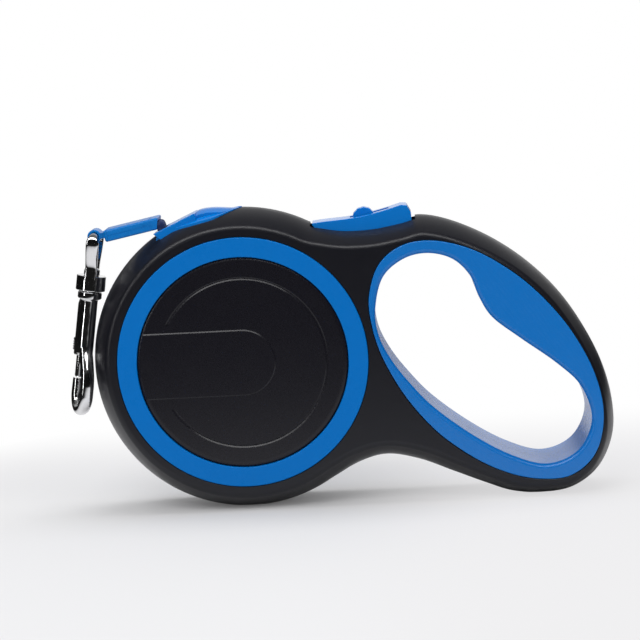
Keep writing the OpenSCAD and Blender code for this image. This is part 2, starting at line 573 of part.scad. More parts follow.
module hook_bolt() color(STEEL) hook_frame(hook_turn) {
    translate([BOLT_U, 0, -bolt_tip]) cylinder(r = bolt_r, h = bolt_tip - bolt_top);
    translate([BOLT_U - 4.2, -0.8, -44.2]) cube([4, 1.6, 2.6]);
    translate([BOLT_U - 5.2, 0, -45]) cylinder(r = 1.5, h = 5);
}
module bolt_spring() color(STEEL) hook_frame(hook_turn) translate([BOLT_U, 0, -bolt_top + 0.05])
    coil(bolt_r - 0.4, 0.22, bolt_top - bore_top - 0.25, 9);

front_casing();
rear_casing();
front_ring();
rear_ring();
front_disc();
rear_disc();
front_grip_liner();
rear_grip_liner();
tape_nozzle();
guide_pin();
axle_post();
axle_screws();
thrust_washers();
casing_screws();
button_pin();
pawl_pin();
pawl_spring();
reel_drum();
rear_flange();
power_spring();
tape_coil();
tape_run();
tape_neck();
tape_sleeve();
tape_loop();
brake_button();
lock_slider();
brake_pawl();
swivel_eye();
swivel_rivet();
hook_body();
hook_bolt();
bolt_spring();
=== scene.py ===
"""Retractable dog leash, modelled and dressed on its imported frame.

Sizes are in millimetres, with +X towards the grip, the decorated side towards -Y and +Z up.
Meshes are written in metres, in the frame's own place.
"""

import contextlib
import json
import logging
import math
from dataclasses import dataclass, field
from enum import Enum
from typing import Callable, Iterator, Sequence

import bpy
from mathutils import Matrix, Vector

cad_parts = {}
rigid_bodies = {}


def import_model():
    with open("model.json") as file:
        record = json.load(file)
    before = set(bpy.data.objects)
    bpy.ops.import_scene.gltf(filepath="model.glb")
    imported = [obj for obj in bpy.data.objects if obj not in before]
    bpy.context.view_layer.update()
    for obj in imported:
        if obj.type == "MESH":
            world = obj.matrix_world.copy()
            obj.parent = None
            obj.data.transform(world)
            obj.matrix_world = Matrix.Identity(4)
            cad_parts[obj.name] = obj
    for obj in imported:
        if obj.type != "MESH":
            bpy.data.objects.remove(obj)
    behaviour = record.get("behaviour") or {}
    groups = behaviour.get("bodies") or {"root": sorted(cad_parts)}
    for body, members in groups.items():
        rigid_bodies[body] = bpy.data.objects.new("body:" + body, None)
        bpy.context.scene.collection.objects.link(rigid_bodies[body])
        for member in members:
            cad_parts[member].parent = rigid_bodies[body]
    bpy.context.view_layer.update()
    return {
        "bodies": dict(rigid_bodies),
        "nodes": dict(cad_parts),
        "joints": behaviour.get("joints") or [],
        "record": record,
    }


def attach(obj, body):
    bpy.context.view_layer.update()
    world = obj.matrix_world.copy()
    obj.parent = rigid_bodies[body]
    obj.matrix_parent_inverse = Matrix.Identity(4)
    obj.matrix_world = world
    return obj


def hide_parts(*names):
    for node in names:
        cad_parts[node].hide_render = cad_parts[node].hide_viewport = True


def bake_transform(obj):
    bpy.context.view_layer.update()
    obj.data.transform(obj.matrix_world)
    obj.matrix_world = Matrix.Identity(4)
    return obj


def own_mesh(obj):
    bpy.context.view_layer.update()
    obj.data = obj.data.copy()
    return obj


LOG = logging.getLogger("leash")
MM = 0.001
Flat = tuple[float, float]
Colour = tuple[float, float, float]


class Side(Enum):
    """The two sides of the casing."""

    FRONT = -1
    REAR = 1

    @property
    def word(self) -> str:
        """The side's name in node and piece names."""
        return self.name.lower()


class Cut(Enum):
    """Ways to combine two solids."""

    AWAY = "DIFFERENCE"
    JOIN = "UNION"


# ---------------------------------------------------------------- flat curves


def smooth_curve(points: Sequence[Sequence[float]], steps: int, closed: bool) -> list[Flat]:
    """Runs a smooth curve through points.

    Args:
        points: The points; an open curve starts at the second and ends at the last but one.
        steps: Points made for each stretch.
        closed: Whether the curve runs on from its last point to its first.

    Returns:
        The points of the curve.
    """
    count = len(points)
    starts = range(count) if closed else range(1, count - 2)
    made = []
    for i in starts:
        a, b, c, d = (Vector(points[(i + k) % count]) for k in (-1, 0, 1, 2))
        for k in range(steps):
            t = k / steps
            made.append(tuple(0.5 * (2 * b + (c - a) * t + (2 * a - 5 * b + 4 * c - d) * t * t
                                     + (3 * b - a - 3 * c + d) * t * t * t)))
    if not closed:
        made.append(tuple(points[count - 2]))
    return made


def outward(points: Sequence[Flat], i: int) -> Vector:
    """Gives the outward direction at one point of a closed curve that runs anticlockwise.

    Args:
        points: The curve.
        i: The point's number.

    Returns:
        A unit vector in X and Z.
    """
    count = len(points)
    along = Vector(points[(i + 1) % count]) - Vector(points[(i - 1) % count])
    return Vector((along.y, -along.x)).normalized()


def grown(points: Sequence[Flat], by: float) -> list[Flat]:
    """Moves a closed curve outwards.

    Args:
        points: The curve, anticlockwise.
        by: The distance, negative for inwards.

    Returns:
        The moved curve.
    """
    return [tuple(Vector(p) + outward(points, i) * by) for i, p in enumerate(points)]


def on_circle(centre: Flat, radius: float, degrees: float) -> Flat:
    """Gives the point of a circle at an angle from +X towards +Z."""
    angle = math.radians(degrees)
    return centre[0] + radius * math.cos(angle), centre[1] + radius * math.sin(angle)


def quarter(radius: float, step: int = 18, start: int = 0) -> list[Flat]:
    """Gives the points of a quarter circle round the origin, from start to 90 degrees."""
    return [on_circle((0.0, 0.0), radius, a) for a in range(start, 91, step)]


def eased(low: float, high: float, value: float) -> float:
    """Goes smoothly from 0 at low to 1 at high."""
    t = min(1.0, max(0.0, (value - low) / (high - low)))
    return t * t * (3 - 2 * t)


# ---------------------------------------------------------------- modelling by operators


def deselect_all() -> None:
    """Leaves edit mode and clears the selection."""
    if bpy.context.object and bpy.context.object.mode != "OBJECT":
        bpy.ops.object.mode_set(mode="OBJECT")
    bpy.ops.object.select_all(action="DESELECT")


def take_up(piece: bpy.types.Object) -> None:
    """Makes a piece the only selected one.

    Args:
        piece: The piece.
    """
    deselect_all()
    piece.select_set(True)
    bpy.context.view_layer.objects.active = piece


@contextlib.contextmanager
def edit_mode(piece: bpy.types.Object, mode: str = "FACE") -> Iterator[None]:
    """Opens a piece in edit mode for the length of a with block.

    Args:
        piece: The piece.
        mode: What its selection is made of: VERT, EDGE or FACE.

    Yields:
        Nothing; the piece is open for the length of the block.
    """
    take_up(piece)
    bpy.ops.object.mode_set(mode="EDIT")
    bpy.ops.mesh.select_mode(type=mode)
    yield
    bpy.ops.object.mode_set(mode="OBJECT")


def named(name: str) -> bpy.types.Object:
    """Names the piece that was just added and its mesh.

    Args:
        name: Its name.

    Returns:
        The piece.
    """
    piece = bpy.context.object
    piece.name = name
    piece.data.name = name
    return piece


def tidy(piece: bpy.types.Object) -> bpy.types.Object:
    """Merges doubled points and turns all faces outwards.

    Args:
        piece: The piece.

    Returns:
        The same piece.
    """
    with edit_mode(piece, "VERT"):
        bpy.ops.mesh.select_all(action="SELECT")
        bpy.ops.mesh.remove_doubles(threshold=2e-7)
        bpy.ops.mesh.normals_make_consistent(inside=False)
    return piece


def plate(name: str, outline: Sequence[Flat], depth_a: float, depth_b: float) -> bpy.types.Object:
    """Raises a closed outline in X and Z into a plate.

    Args:
        name: The piece's name.
        outline: The outline.
        depth_a: Y of one face.
        depth_b: Y of the other.

    Returns:
        The plate.
    """
    deselect_all()
    bpy.ops.mesh.primitive_circle_add(vertices=len(outline), radius=0.01, fill_type="NGON")
    piece = named(name)
    for vertex, (x, z) in zip(piece.data.vertices, outline):
        vertex.co = (x * MM, depth_a * MM, z * MM)
    with edit_mode(piece):
        bpy.ops.mesh.select_all(action="SELECT")
        bpy.ops.mesh.extrude_region_move(TRANSFORM_OT_translate={"value": (0, (depth_b - depth_a) * MM, 0)})
    return tidy(piece)


def skin(name: str, rings: Sequence[Sequence[Vector]], capped: bool = True) -> bpy.types.Object:
    """Lays a grid over a row of closed rings.

    Args:
        name: The piece's name.
        rings: The rings, all with as many points.
        capped: Whether the ends are closed.

    Returns:
        The skin.
    """
    across = len(rings[0])
    deselect_all()
    bpy.ops.mesh.primitive_grid_add(x_subdivisions=across, y_subdivisions=len(rings) - 1, size=0.1)
    piece = named(name)
    vertices = piece.data.vertices
    if len(vertices) != (across + 1) * len(rings):
        raise ValueError(f"{name}: the grid has {len(vertices)} points")
    for row, ring in enumerate(rings):
        for column in range(across + 1):
            vertices[row * (across + 1) + column].co = ring[column % len(ring)] * MM
    tidy(piece)
    if capped:
        with edit_mode(piece, "VERT"):
            bpy.ops.mesh.select_all(action="SELECT")
            bpy.ops.mesh.fill_holes(sides=0)
        tidy(piece)
    return piece


def lathe(name: str, profile: Sequence[Flat], centre: Flat = (0.0, 0.0), steps: int = 96) -> bpy.types.Object:
    """Turns a profile about an axis along Y, by extruding and scaling a circle.

    Args:
        name: The piece's name.
        profile: Radius and Y of each corner, from one end of the axis to the other.
        centre: X and Z of the axis.
        steps: Sides of the circle.

    Returns:
        The turned piece, closed at both ends.
    """
    deselect_all()
    (radius, depth), rest = profile[0], profile[1:]
    bpy.ops.mesh.primitive_circle_add(vertices=steps, radius=radius * MM, rotation=(math.pi / 2, 0, 0),
                                      location=(centre[0] * MM, depth * MM, centre[1] * MM))
    piece = named(name)
    bpy.ops.object.transform_apply(location=True, rotation=True, scale=True)
    with edit_mode(piece, "EDGE"):
        bpy.ops.mesh.select_all(action="SELECT")
        for next_radius, next_depth in rest:
            shift = (0, (next_depth - depth) * MM, 0)
            bpy.ops.mesh.extrude_region_move(TRANSFORM_OT_translate={"value": shift})
            if next_radius != radius:
                share = next_radius / radius
                bpy.ops.transform.resize(value=(share, 1, share), center_override=(
                    centre[0] * MM, next_depth * MM, centre[1] * MM))
            radius, depth = next_radius, next_depth
        bpy.ops.mesh.select_all(action="SELECT")
        bpy.ops.mesh.fill_holes(sides=0)
    return tidy(piece)


def hoop(name: str, section: Sequence[Flat], centre: Flat, steps: int = 192) -> bpy.types.Object:
    """Runs a closed section round an axis along Y.

    Args:
        name: The piece's name.
        section: Radius and Y of each corner.
        centre: X and Z of the axis.
        steps: Sides of the circle.

    Returns:
        The hoop.
    """
    rings = []
    for k in range(steps):
        angle = 2 * math.pi * k / steps
        c, s = math.cos(angle), math.sin(angle)
        rings.append([Vector((centre[0] + r * c, y, centre[1] + r * s)) for r, y in section])
    return skin(name, [*rings, rings[0]], capped=False)


def block(name: str, low: Sequence[float], high: Sequence[float]) -> bpy.types.Object:
    """Adds a box between two corners, its size already in its mesh.

    Args:
        name: The box's name.
        low: Its lowest X, Y and Z.
        high: Its highest X, Y and Z.

    Returns:
        The box.
    """
    deselect_all()
    bpy.ops.mesh.primitive_cube_add(size=1, location=[(a + b) / 2 * MM for a, b in zip(low, high)],
                                    scale=[(b - a) * MM for a, b in zip(low, high)])
    piece = named(name)
    bpy.ops.object.transform_apply(location=True, rotation=True, scale=True)
    return piece


def combine(piece: bpy.types.Object, other: bpy.types.Object, how: Cut = Cut.AWAY) -> bpy.types.Object:
    """Combines a solid with another, which is used up.

    Args:
        piece: The solid that changes.
        other: The other solid.
        how: Whether it is cut away or joined on.

    Returns:
        The changed solid.
    """
    take_up(piece)
    step = piece.modifiers.new("combine", "BOOLEAN")
    step.object, step.operation, step.solver = other, how.value, "EXACT"
    bpy.ops.object.modifier_apply(modifier=step.name)
    bpy.data.objects.remove(other, do_unlink=True)
    if not piece.data.polygons:
        raise ValueError(f"{piece.name}: nothing is left")
    return piece


def round_edges(piece: bpy.types.Object, width: float, segments: int, degrees: float) -> None:
    """Rounds every edge that is sharper than an angle.

    Args:
        piece: The piece.
        width: Width of the rounding.
        segments: Its steps.
        degrees: The angle.
    """
    take_up(piece)
    step = piece.modifiers.new("round", "BEVEL")
    step.width, step.segments = width * MM, segments
    step.limit_method, step.angle_limit = "ANGLE", math.radians(degrees)
    step.miter_outer = "MITER_ARC"
    bpy.ops.object.modifier_apply(modifier=step.name)


def shade(piece: bpy.types.Object, degrees: float = 35) -> None:
    """Shades a piece smooth up to an angle, with flat faces kept flat.

    Args:
        piece: The piece.
        degrees: The widest angle between faces that shade as one.
    """
    with edit_mode(piece, "VERT"):
        bpy.ops.mesh.select_all(action="SELECT")
        bpy.ops.mesh.dissolve_degenerate(threshold=2e-6)
        bpy.ops.mesh.normals_make_consistent(inside=False)
    bpy.ops.object.shade_smooth_by_angle(angle=math.radians(degrees))
    step = piece.modifiers.new("flats", "WEIGHTED_NORMAL")
    step.keep_sharp, step.weight = True, 80
    bpy.ops.object.modifier_apply(modifier=step.name)


def settle(piece: bpy.types.Object, place: Matrix) -> None:
    """Moves a piece to its place and applies that to its mesh.

    Args:
        piece: The piece.
        place: Its place.
    """
    take_up(piece)
    piece.matrix_world = place
    bpy.ops.object.transform_apply(location=True, rotation=True, scale=True)


def hand_over(piece: bpy.types.Object, finish: bpy.types.Material, body: str, slot: str, *nodes: str) -> None:
    """Gives a finished piece its material and its place in the frame.

    Args:
        piece: The piece.
        finish: Its material.
        body: The body it moves with.
        slot: The record's material slot; not used.
        *nodes: The nodes that it stands for.
    """
    piece.data.materials.clear()
    piece.data.materials.append(finish)
    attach(piece, body)
    if nodes:
        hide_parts(*nodes)
    LOG.info("%s: %d faces on %s", piece.name, len(piece.data.polygons), body)


# ---------------------------------------------------------------- finishes


def opaque(value: object) -> object:
    """Gives a colour its fourth number, and leaves anything else as it is."""
    return (*value, 1) if isinstance(value, tuple) and len(value) == 3 else value


class Graph:
    """The node tree of one material or world."""

    def __init__(self, owner: bpy.types.ID) -> None:
        """Empties the tree of a new material or world.

        Args:
            owner: The material or world.
        """
        self.owner = owner
        owner.use_nodes = True
        self.tree = owner.node_tree
        self.tree.nodes.clear()

    def node(self, kind: str, settings: dict[str, object] | None = None,
             sockets: dict[str | int, object] | None = None) -> bpy.types.Node:
        """Adds a node.

        Args:
            kind: The node's type.
            settings: Its settings, set first.
            sockets: Its sockets' values or links, by name or number.

        Returns:
            The node.
        """
        made = self.tree.nodes.new(kind)
        for key, value in (settings or {}).items():
            setattr(made, key, value)
        for key, value in (sockets or {}).items():
            if isinstance(value, Value):
                self.tree.links.new(value.socket, made.inputs[key])
            elif isinstance(value, bpy.types.NodeSocket):
                self.tree.links.new(value, made.inputs[key])
            else:
                made.inputs[key].default_value = value
        return made

    def value(self, kind: str, settings: dict[str, object] | None = None,
              sockets: dict[str | int, object] | None = None) -> "Value":
        """Adds a node and gives its first output for use in expressions."""
        return Value(self, self.node(kind, settings, sockets).outputs[0])

    def place(self, scale: Sequence[float] = (1, 1, 1),
              turn: Sequence[float] = (0, 0, 0)) -> bpy.types.NodeSocket:
        """Gives object coordinates, turned and scaled.

        Args:
            scale: Scale on each axis.
            turn: Turn about each axis, in radians.

        Returns:
            The vector's socket.
        """
        # a texture mapping turns first and scales after, by one over its scale
        kind, scale = ("TEXTURE", [1 / s for s in scale]) if any(turn) else ("POINT", scale)
        coordinates = self.node("ShaderNodeTexCoord").outputs["Object"]
        return self.node("ShaderNodeMapping", {"vector_type": kind}, {
            "Vector": coordinates, "Rotation": turn, "Scale": scale}).outputs[0]

    def noise(self, scale: float, detail: float = 3, rough: float = 0.55,
              vector: bpy.types.NodeSocket | None = None) -> "Value":
        """Adds noise, 0 to 1, on object coordinates unless a vector is given."""
        return self.value("ShaderNodeTexNoise", None, {
            "Vector": vector or self.place(), "Scale": scale, "Detail": detail, "Roughness": rough})

    def split(self, vector: bpy.types.NodeSocket) -> tuple["Value", "Value", "Value"]:
        """Splits a vector into its three numbers."""
        outputs = self.node("ShaderNodeSeparateXYZ", None, {"Vector": vector}).outputs
        return Value(self, outputs[0]), Value(self, outputs[1]), Value(self, outputs[2])

    def mix(self, share: object, first: object, second: object) -> bpy.types.NodeSocket:
        """Mixes two colours."""
        sockets = {0: share, 6: opaque(first), 7: opaque(second)}
        return self.node("ShaderNodeMix", {"data_type": "RGBA"}, sockets).outputs[2]

    def bump(self, height: "Value", depth: float) -> bpy.types.NodeSocket:
        """Turns a height, 0 to 1, into a surface normal, for a relief of that many millimetres."""
        return self.node("ShaderNodeBump", None, {
            "Height": height, "Distance": depth * MM, "Strength": 1.0}).outputs[0]

    def finish(self, **sockets: object) -> bpy.types.Material:
        """Ends the material in one surface shader.

        Args:
            **sockets: The shader's sockets, with underscores for spaces.

        Returns:
            The material.
        """
        shader = self.node("ShaderNodeBsdfPrincipled", None, {
            key.replace("_", " "): opaque(value) for key, value in sockets.items()})
        self.node("ShaderNodeOutputMaterial", None, {"Surface": shader.outputs[0]})
        return self.owner


class Value:
    """A socket that takes part in Python expressions, each of which adds its Math node."""

    def __init__(self, graph: Graph, socket: bpy.types.NodeSocket) -> None:
        """Wraps a socket."""
        self.graph = graph
        self.socket = socket

    def math(self, operation: str, *others: object) -> "Value":
        """Adds one Math node after this value."""
        return self.graph.value("ShaderNodeMath", {"operation": operation}, dict(enumerate((self, *others))))

    def _from(self, operation: str, first: object) -> "Value":
        """Adds one Math node that takes this value second."""
        return self.graph.value("ShaderNodeMath", {"operation": operation}, {0: first, 1: self})

    def __add__(self, other: object) -> "Value":
        """This plus other."""
        return self.math("ADD", other)

    def __radd__(self, other: object) -> "Value":
        """Other plus this."""
        return self._from("ADD", other)

    def __sub__(self, other: object) -> "Value":
        """This less other."""
        return self.math("SUBTRACT", other)

    def __rsub__(self, other: object) -> "Value":
        """Other less this."""
        return self._from("SUBTRACT", other)

    def __mul__(self, other: object) -> "Value":
        """This times other."""
        return self.math("MULTIPLY", other)

    def __rmul__(self, other: object) -> "Value":
        """Other times this."""
        return self._from("MULTIPLY", other)

    def __pow__(self, other: object) -> "Value":
        """This to the power of other."""
        return self.math("POWER", other)

    def __rpow__(self, other: object) -> "Value":
        """Other to the power of this."""
        return self._from("POWER", other)

    def sine(self) -> "Value":
        """The sine of this."""
        return self.math("SINE")

    def size(self) -> "Value":
        """This without its sign."""
        return self.math("ABSOLUTE")

    def held(self) -> "Value":
        """This, kept between 0 and 1."""
        return self.graph.value("ShaderNodeClamp", None, {0: self})

    def step(self, low: float, high: float) -> "Value":
        """A soft step from 0 at low to 1 at high."""
        return self.graph.value("ShaderNodeMapRange", {"interpolation_type": "SMOOTHSTEP"}, {
            0: self, 1: low, 2: high, 3: 0.0, 4: 1.0})


def shaded(colour: Colour, by: float) -> Colour:
    """A colour made lighter or darker by a share."""
    return tuple(min(1.0, c * by) for c in colour)


@dataclass(frozen=True)
class MouldedPlastic:
    """Injection-moulded plastic: an even colour, a fine spark-eroded grain and soft smudges in its gloss."""

    name: str
    colour: Colour
    gloss: float = 0.3
    grain: float = 0.012
    smudge: float = 0.1
    shift: float = 0.12
    mirror: float = 0.5

    def make(self) -> bpy.types.Material:
        """Makes the material.

        Returns:
            The material.
        """
        g = Graph(bpy.data.materials.new(self.name))
        flow = g.noise(38, 3, 0.5)
        fine = g.noise(2600, 2, 0.6)
        rub = g.noise(140, 4, 0.65)
        # faint hairline marks from handling
        hair = g.noise(60, 6, 0.7, g.place((1, 1, 26), (0.5, 0.9, 0.2)))
        marks = (hair - 0.5).size().step(0.0, 0.012)
        tint = g.mix(((flow - 0.5) * 2.2 * self.shift + 0.5 + (fine - 0.5) * 0.12).held(),
                     shaded(self.colour, 1 - self.shift), shaded(self.colour, 1 + self.shift))
        rough = (self.gloss + (rub - 0.5) * self.smudge + (1 - marks) * 0.05 + (fine - 0.5) * 0.06).held()
        return g.finish(Base_Color=tint, Roughness=rough, IOR=1.47, Specular_IOR_Level=self.mirror,
                        Normal=g.bump(fine * 0.8 + flow * 0.2 + marks * 0.15, self.grain))


@dataclass(frozen=True)
class WovenTape:
    """Flat woven tape: twill ribs along it, crossed by picks, with a tighter selvedge."""

    name: str
    colour: Colour
    thread: float = 0.55
    width: float = 14.4
    turn: float = math.radians(-11)

    def make(self) -> bpy.types.Material:
        """Makes the material.

        Returns:
            The material.
        """
        g = Graph(bpy.data.materials.new(self.name))
        along, across, _ = g.split(g.place((1 / MM,) * 3, (0, self.turn, 0)))
        step = 2 * math.pi / self.thread
        warp = (across * step).sine()
        weft = (along * step * 0.8 + across * step * 0.5).sine()
        weave = (warp * weft * 0.5 + 0.5) * 0.6 + (warp.size()) * 0.4
        edge = across.size().step(self.width / 2 - 1.1, self.width / 2 - 0.9)
        fuzz = g.noise(5200, 3, 0.7)
        tone = ((weave * 0.7 + fuzz * 0.3) * (1 - edge * 0.25)).held()
        return g.finish(Base_Color=g.mix(tone, shaded(self.colour, 0.55), shaded(self.colour, 1.45)),
                        Roughness=(0.62 + (fuzz - 0.5) * 0.3).held(), Sheen_Weight=0.05, Sheen_Roughness=0.5,
                        Normal=g.bump(weave + fuzz * 0.25, 0.14))


@dataclass(frozen=True)
class Chrome:
    """Bright plated casting: mirror-like, with the slight waves of a polished casting."""

    name: str
    colour: Colour = (0.82, 0.82, 0.83)
    gloss: float = 0.07

    def make(self) -> bpy.types.Material:
        """Makes the material.

        Returns:
            The material.
        """
        g = Graph(bpy.data.materials.new(self.name))
        wave = g.noise(170, 2, 0.4)
        pores = g.noise(3200, 2, 0.5)
        haze = g.noise(420, 4, 0.6)
        tint = g.mix((haze * 0.8 + pores * 0.2).held(), shaded(self.colour, 0.93), shaded(self.colour, 1.04))
        rough = (self.gloss + (haze - 0.45).held() * 0.16 + (pores - 0.62).held() * 0.3).held()
        return g.finish(Base_Color=tint, Metallic=1.0, Roughness=rough,
                        Normal=g.bump(wave * 0.85 + haze * 0.1 + pores * 0.05, 0.09))


@dataclass(frozen=True)
class DrawnSteel:
    """Turned or drawn steel, with fine lines round it."""

    name: str
    colour: Colour = (0.56, 0.57, 0.58)
    gloss: float = 0.28

    def make(self) -> bpy.types.Material:
        """Makes the material.

        Returns:
            The material.
        """
        g = Graph(bpy.data.materials.new(self.name))
        lines = g.noise(300, 4, 0.7, g.place((1, 14, 1)))
        spots = g.noise(260, 3, 0.5)
        tint = g.mix((lines * 0.6 + spots * 0.4).held(), shaded(self.colour, 0.82), shaded(self.colour, 1.15))
        return g.finish(Base_Color=tint, Metallic=1.0, Roughness=(self.gloss + (lines - 0.5) * 0.25).held(),
                        Normal=g.bump(lines, 0.02))


class Palette:
    """The finishes of the leash, each made once."""

    def __init__(self) -> None:
        """Makes them."""
        self.casing = MouldedPlastic(
            "casing_plastic", (0.0068, 0.0070, 0.0108), gloss=0.33, grain=0.008, shift=0.2,
            mirror=0.45).make()
        self.disc = MouldedPlastic(
            "disc_plastic", (0.0072, 0.0068, 0.0105), gloss=0.27, grain=0.005, smudge=0.08, shift=0.15,
            mirror=0.38).make()
        self.trim = MouldedPlastic(
            "trim_plastic", (0.0, 0.141, 0.475), gloss=0.28, grain=0.006, shift=0.05, mirror=0.12).make()
        self.liner = MouldedPlastic(
            "liner_plastic", (0.0, 0.145, 0.485), gloss=0.24, grain=0.004, smudge=0.08, shift=0.05).make()
        self.gloss_trim = MouldedPlastic(
            "gloss_trim_plastic", (0.0005, 0.165, 0.56), gloss=0.15, grain=0.004, smudge=0.08,
            shift=0.05).make()
        self.sleeve = MouldedPlastic(
            "sleeve_plastic", (0.0, 0.152, 0.49), gloss=0.27, grain=0.006, shift=0.06, mirror=0.3).make()
        self.reel = MouldedPlastic(
            "reel_plastic_finish", (0.018, 0.018, 0.02), gloss=0.42, grain=0.02, smudge=0.12,
            shift=0.2).make()
        self.pawl = MouldedPlastic(
            "pawl_plastic_finish", (0.27, 0.28, 0.30), gloss=0.4, grain=0.015, smudge=0.12, shift=0.1).make()
        self.tape = WovenTape("woven_tape", (0.006, 0.02, 0.10)).make()
        self.chrome = Chrome("hook_chrome_finish").make()
        self.steel = DrawnSteel("turned_steel").make()
        self.spring = DrawnSteel("spring_strip", (0.33, 0.34, 0.37), gloss=0.33).make()


# ---------------------------------------------------------------- casing


@dataclass(frozen=True)
class CasingForm:
    """The shape that both casing halves, and all that sits on them, share."""

    radius: float = 56.5
    axle: Flat = (0.0, 55.7)
    half: float = 17.0
    wall: float = 2.2
    trim_depth: float = 1.6
    crown_reel: float = 6.2
    crown_grip: float = 4.2
    edge_radius: float = 3.1
    part_line: float = 0.3
    join_low: float = 303.0
    join_high: float = 62.0
    join_step: float = 11.0
    grip: tuple[Flat, ...] = (
        (41.5, 14), (52, 16.4), (64, 13.9), (76, 8.9), (88, 3.9), (98, 0.3), (109, -0.8), (121, 1),
        (131, 8.2), (136.6, 20), (137, 33), (133.6, 47.6), (127, 62), (118.3, 75.3), (107, 87), (94, 96.4),
        (80, 103.2), (68.5, 106), (60, 104.5), (50, 103), (40, 102.9), (32, 104.2))

    def outline(self, steps: int = 8, arc_step: float = 2.5) -> list[Flat]:
        """Gives the side outline on the plane where the halves meet.

        Args:
            steps: Points for each stretch of the grip.
            arc_step: Degrees between points on the round part.

        Returns:
            The closed outline, anticlockwise.
        """
        ends = [on_circle(self.axle, self.radius, a) for a in (
            self.join_low - self.join_step, self.join_low, self.join_high, self.join_high + self.join_step)]
        curve = smooth_curve([*ends[:2], *self.grip, *ends[2:]], steps, closed=False)
        turn = self.join_low - self.join_high
        count = int(turn / arc_step)
        arc = [on_circle(self.axle, self.radius, self.join_high + turn * i / count) for i in range(1, count)]
        return curve + arc

    def crown(self, x: float) -> float:
        """How far the side edge lies inside the outline at X."""
        return self.crown_reel + (self.crown_grip - self.crown_reel) * eased(50, 120, x)

    def drop(self, x: float, depth: float) -> float:
        """How far the crown has drawn in at a depth."""
        return self.crown(x) * (depth / self.half) ** 2

    def edge(self, x: float) -> list[Flat]:
        """Gives the section from the parting line over the crown and the rounded edge to the flat side.

        Args:
            x: Where along the casing.

        Returns:
            Inset and depth of each station.
        """
        crown, r = self.crown(x), self.edge_radius
        depth = self.half - 1
        for _ in range(12):
            slope = math.atan(2 * crown * depth / self.half ** 2)
            depth = self.half - r * (1 - math.sin(slope))
        stations = [(self.part_line, 0.0), (0.02, self.part_line)]
        stations += [(self.drop(x, depth * k / 9), depth * k / 9) for k in range(1, 10)]
        centre = self.drop(x, depth) + r * math.cos(slope)
        for k in range(1, 9):
            angle = slope + (math.pi / 2 - slope) * k / 8
            stations.append((centre - r * math.cos(angle), self.half - r + r * math.sin(angle)))
        return stations

    def rings(self, side: Side) -> list[list[Vector]]:
        """Gives the rings of one half's outer skin, from the parting plane to the flat side.

        Args:
            side: Which half.

        Returns:
            The rings, all with as many points.
        """
        outline = self.outline()
        sections = [self.edge(x) for x, _ in outline]
        rings = []
        for k in range(len(sections[0])):
            ring = []
            for i, p in enumerate(outline):
                inset, depth = sections[i][k]
                q = Vector(p) - outward(outline, i) * inset
                ring.append(Vector((q.x, side.value * depth, max(q.y, 0.0))))
            rings.append(ring)
        return rings

    def hollow(self, side: Side) -> list[list[Vector]]:
        """Gives the rings of one half's inside.

        Args:
            side: Which half.

        Returns:
            The rings, all with as many points.
        """
        outline = self.outline(4, 5)
        rings = []
        for depth in (-0.6, 0.0, 4.4, 8.8, self.half - self.trim_depth - self.wall):
            ring = []
            for i, p in enumerate(outline):
                q = Vector(p) - outward(outline, i) * (self.drop(p[0], max(depth, 0)) + self.wall)
                ring.append(Vector((q.x, side.value * depth, max(q.y, self.wall))))
            rings.append(ring)
        return rings


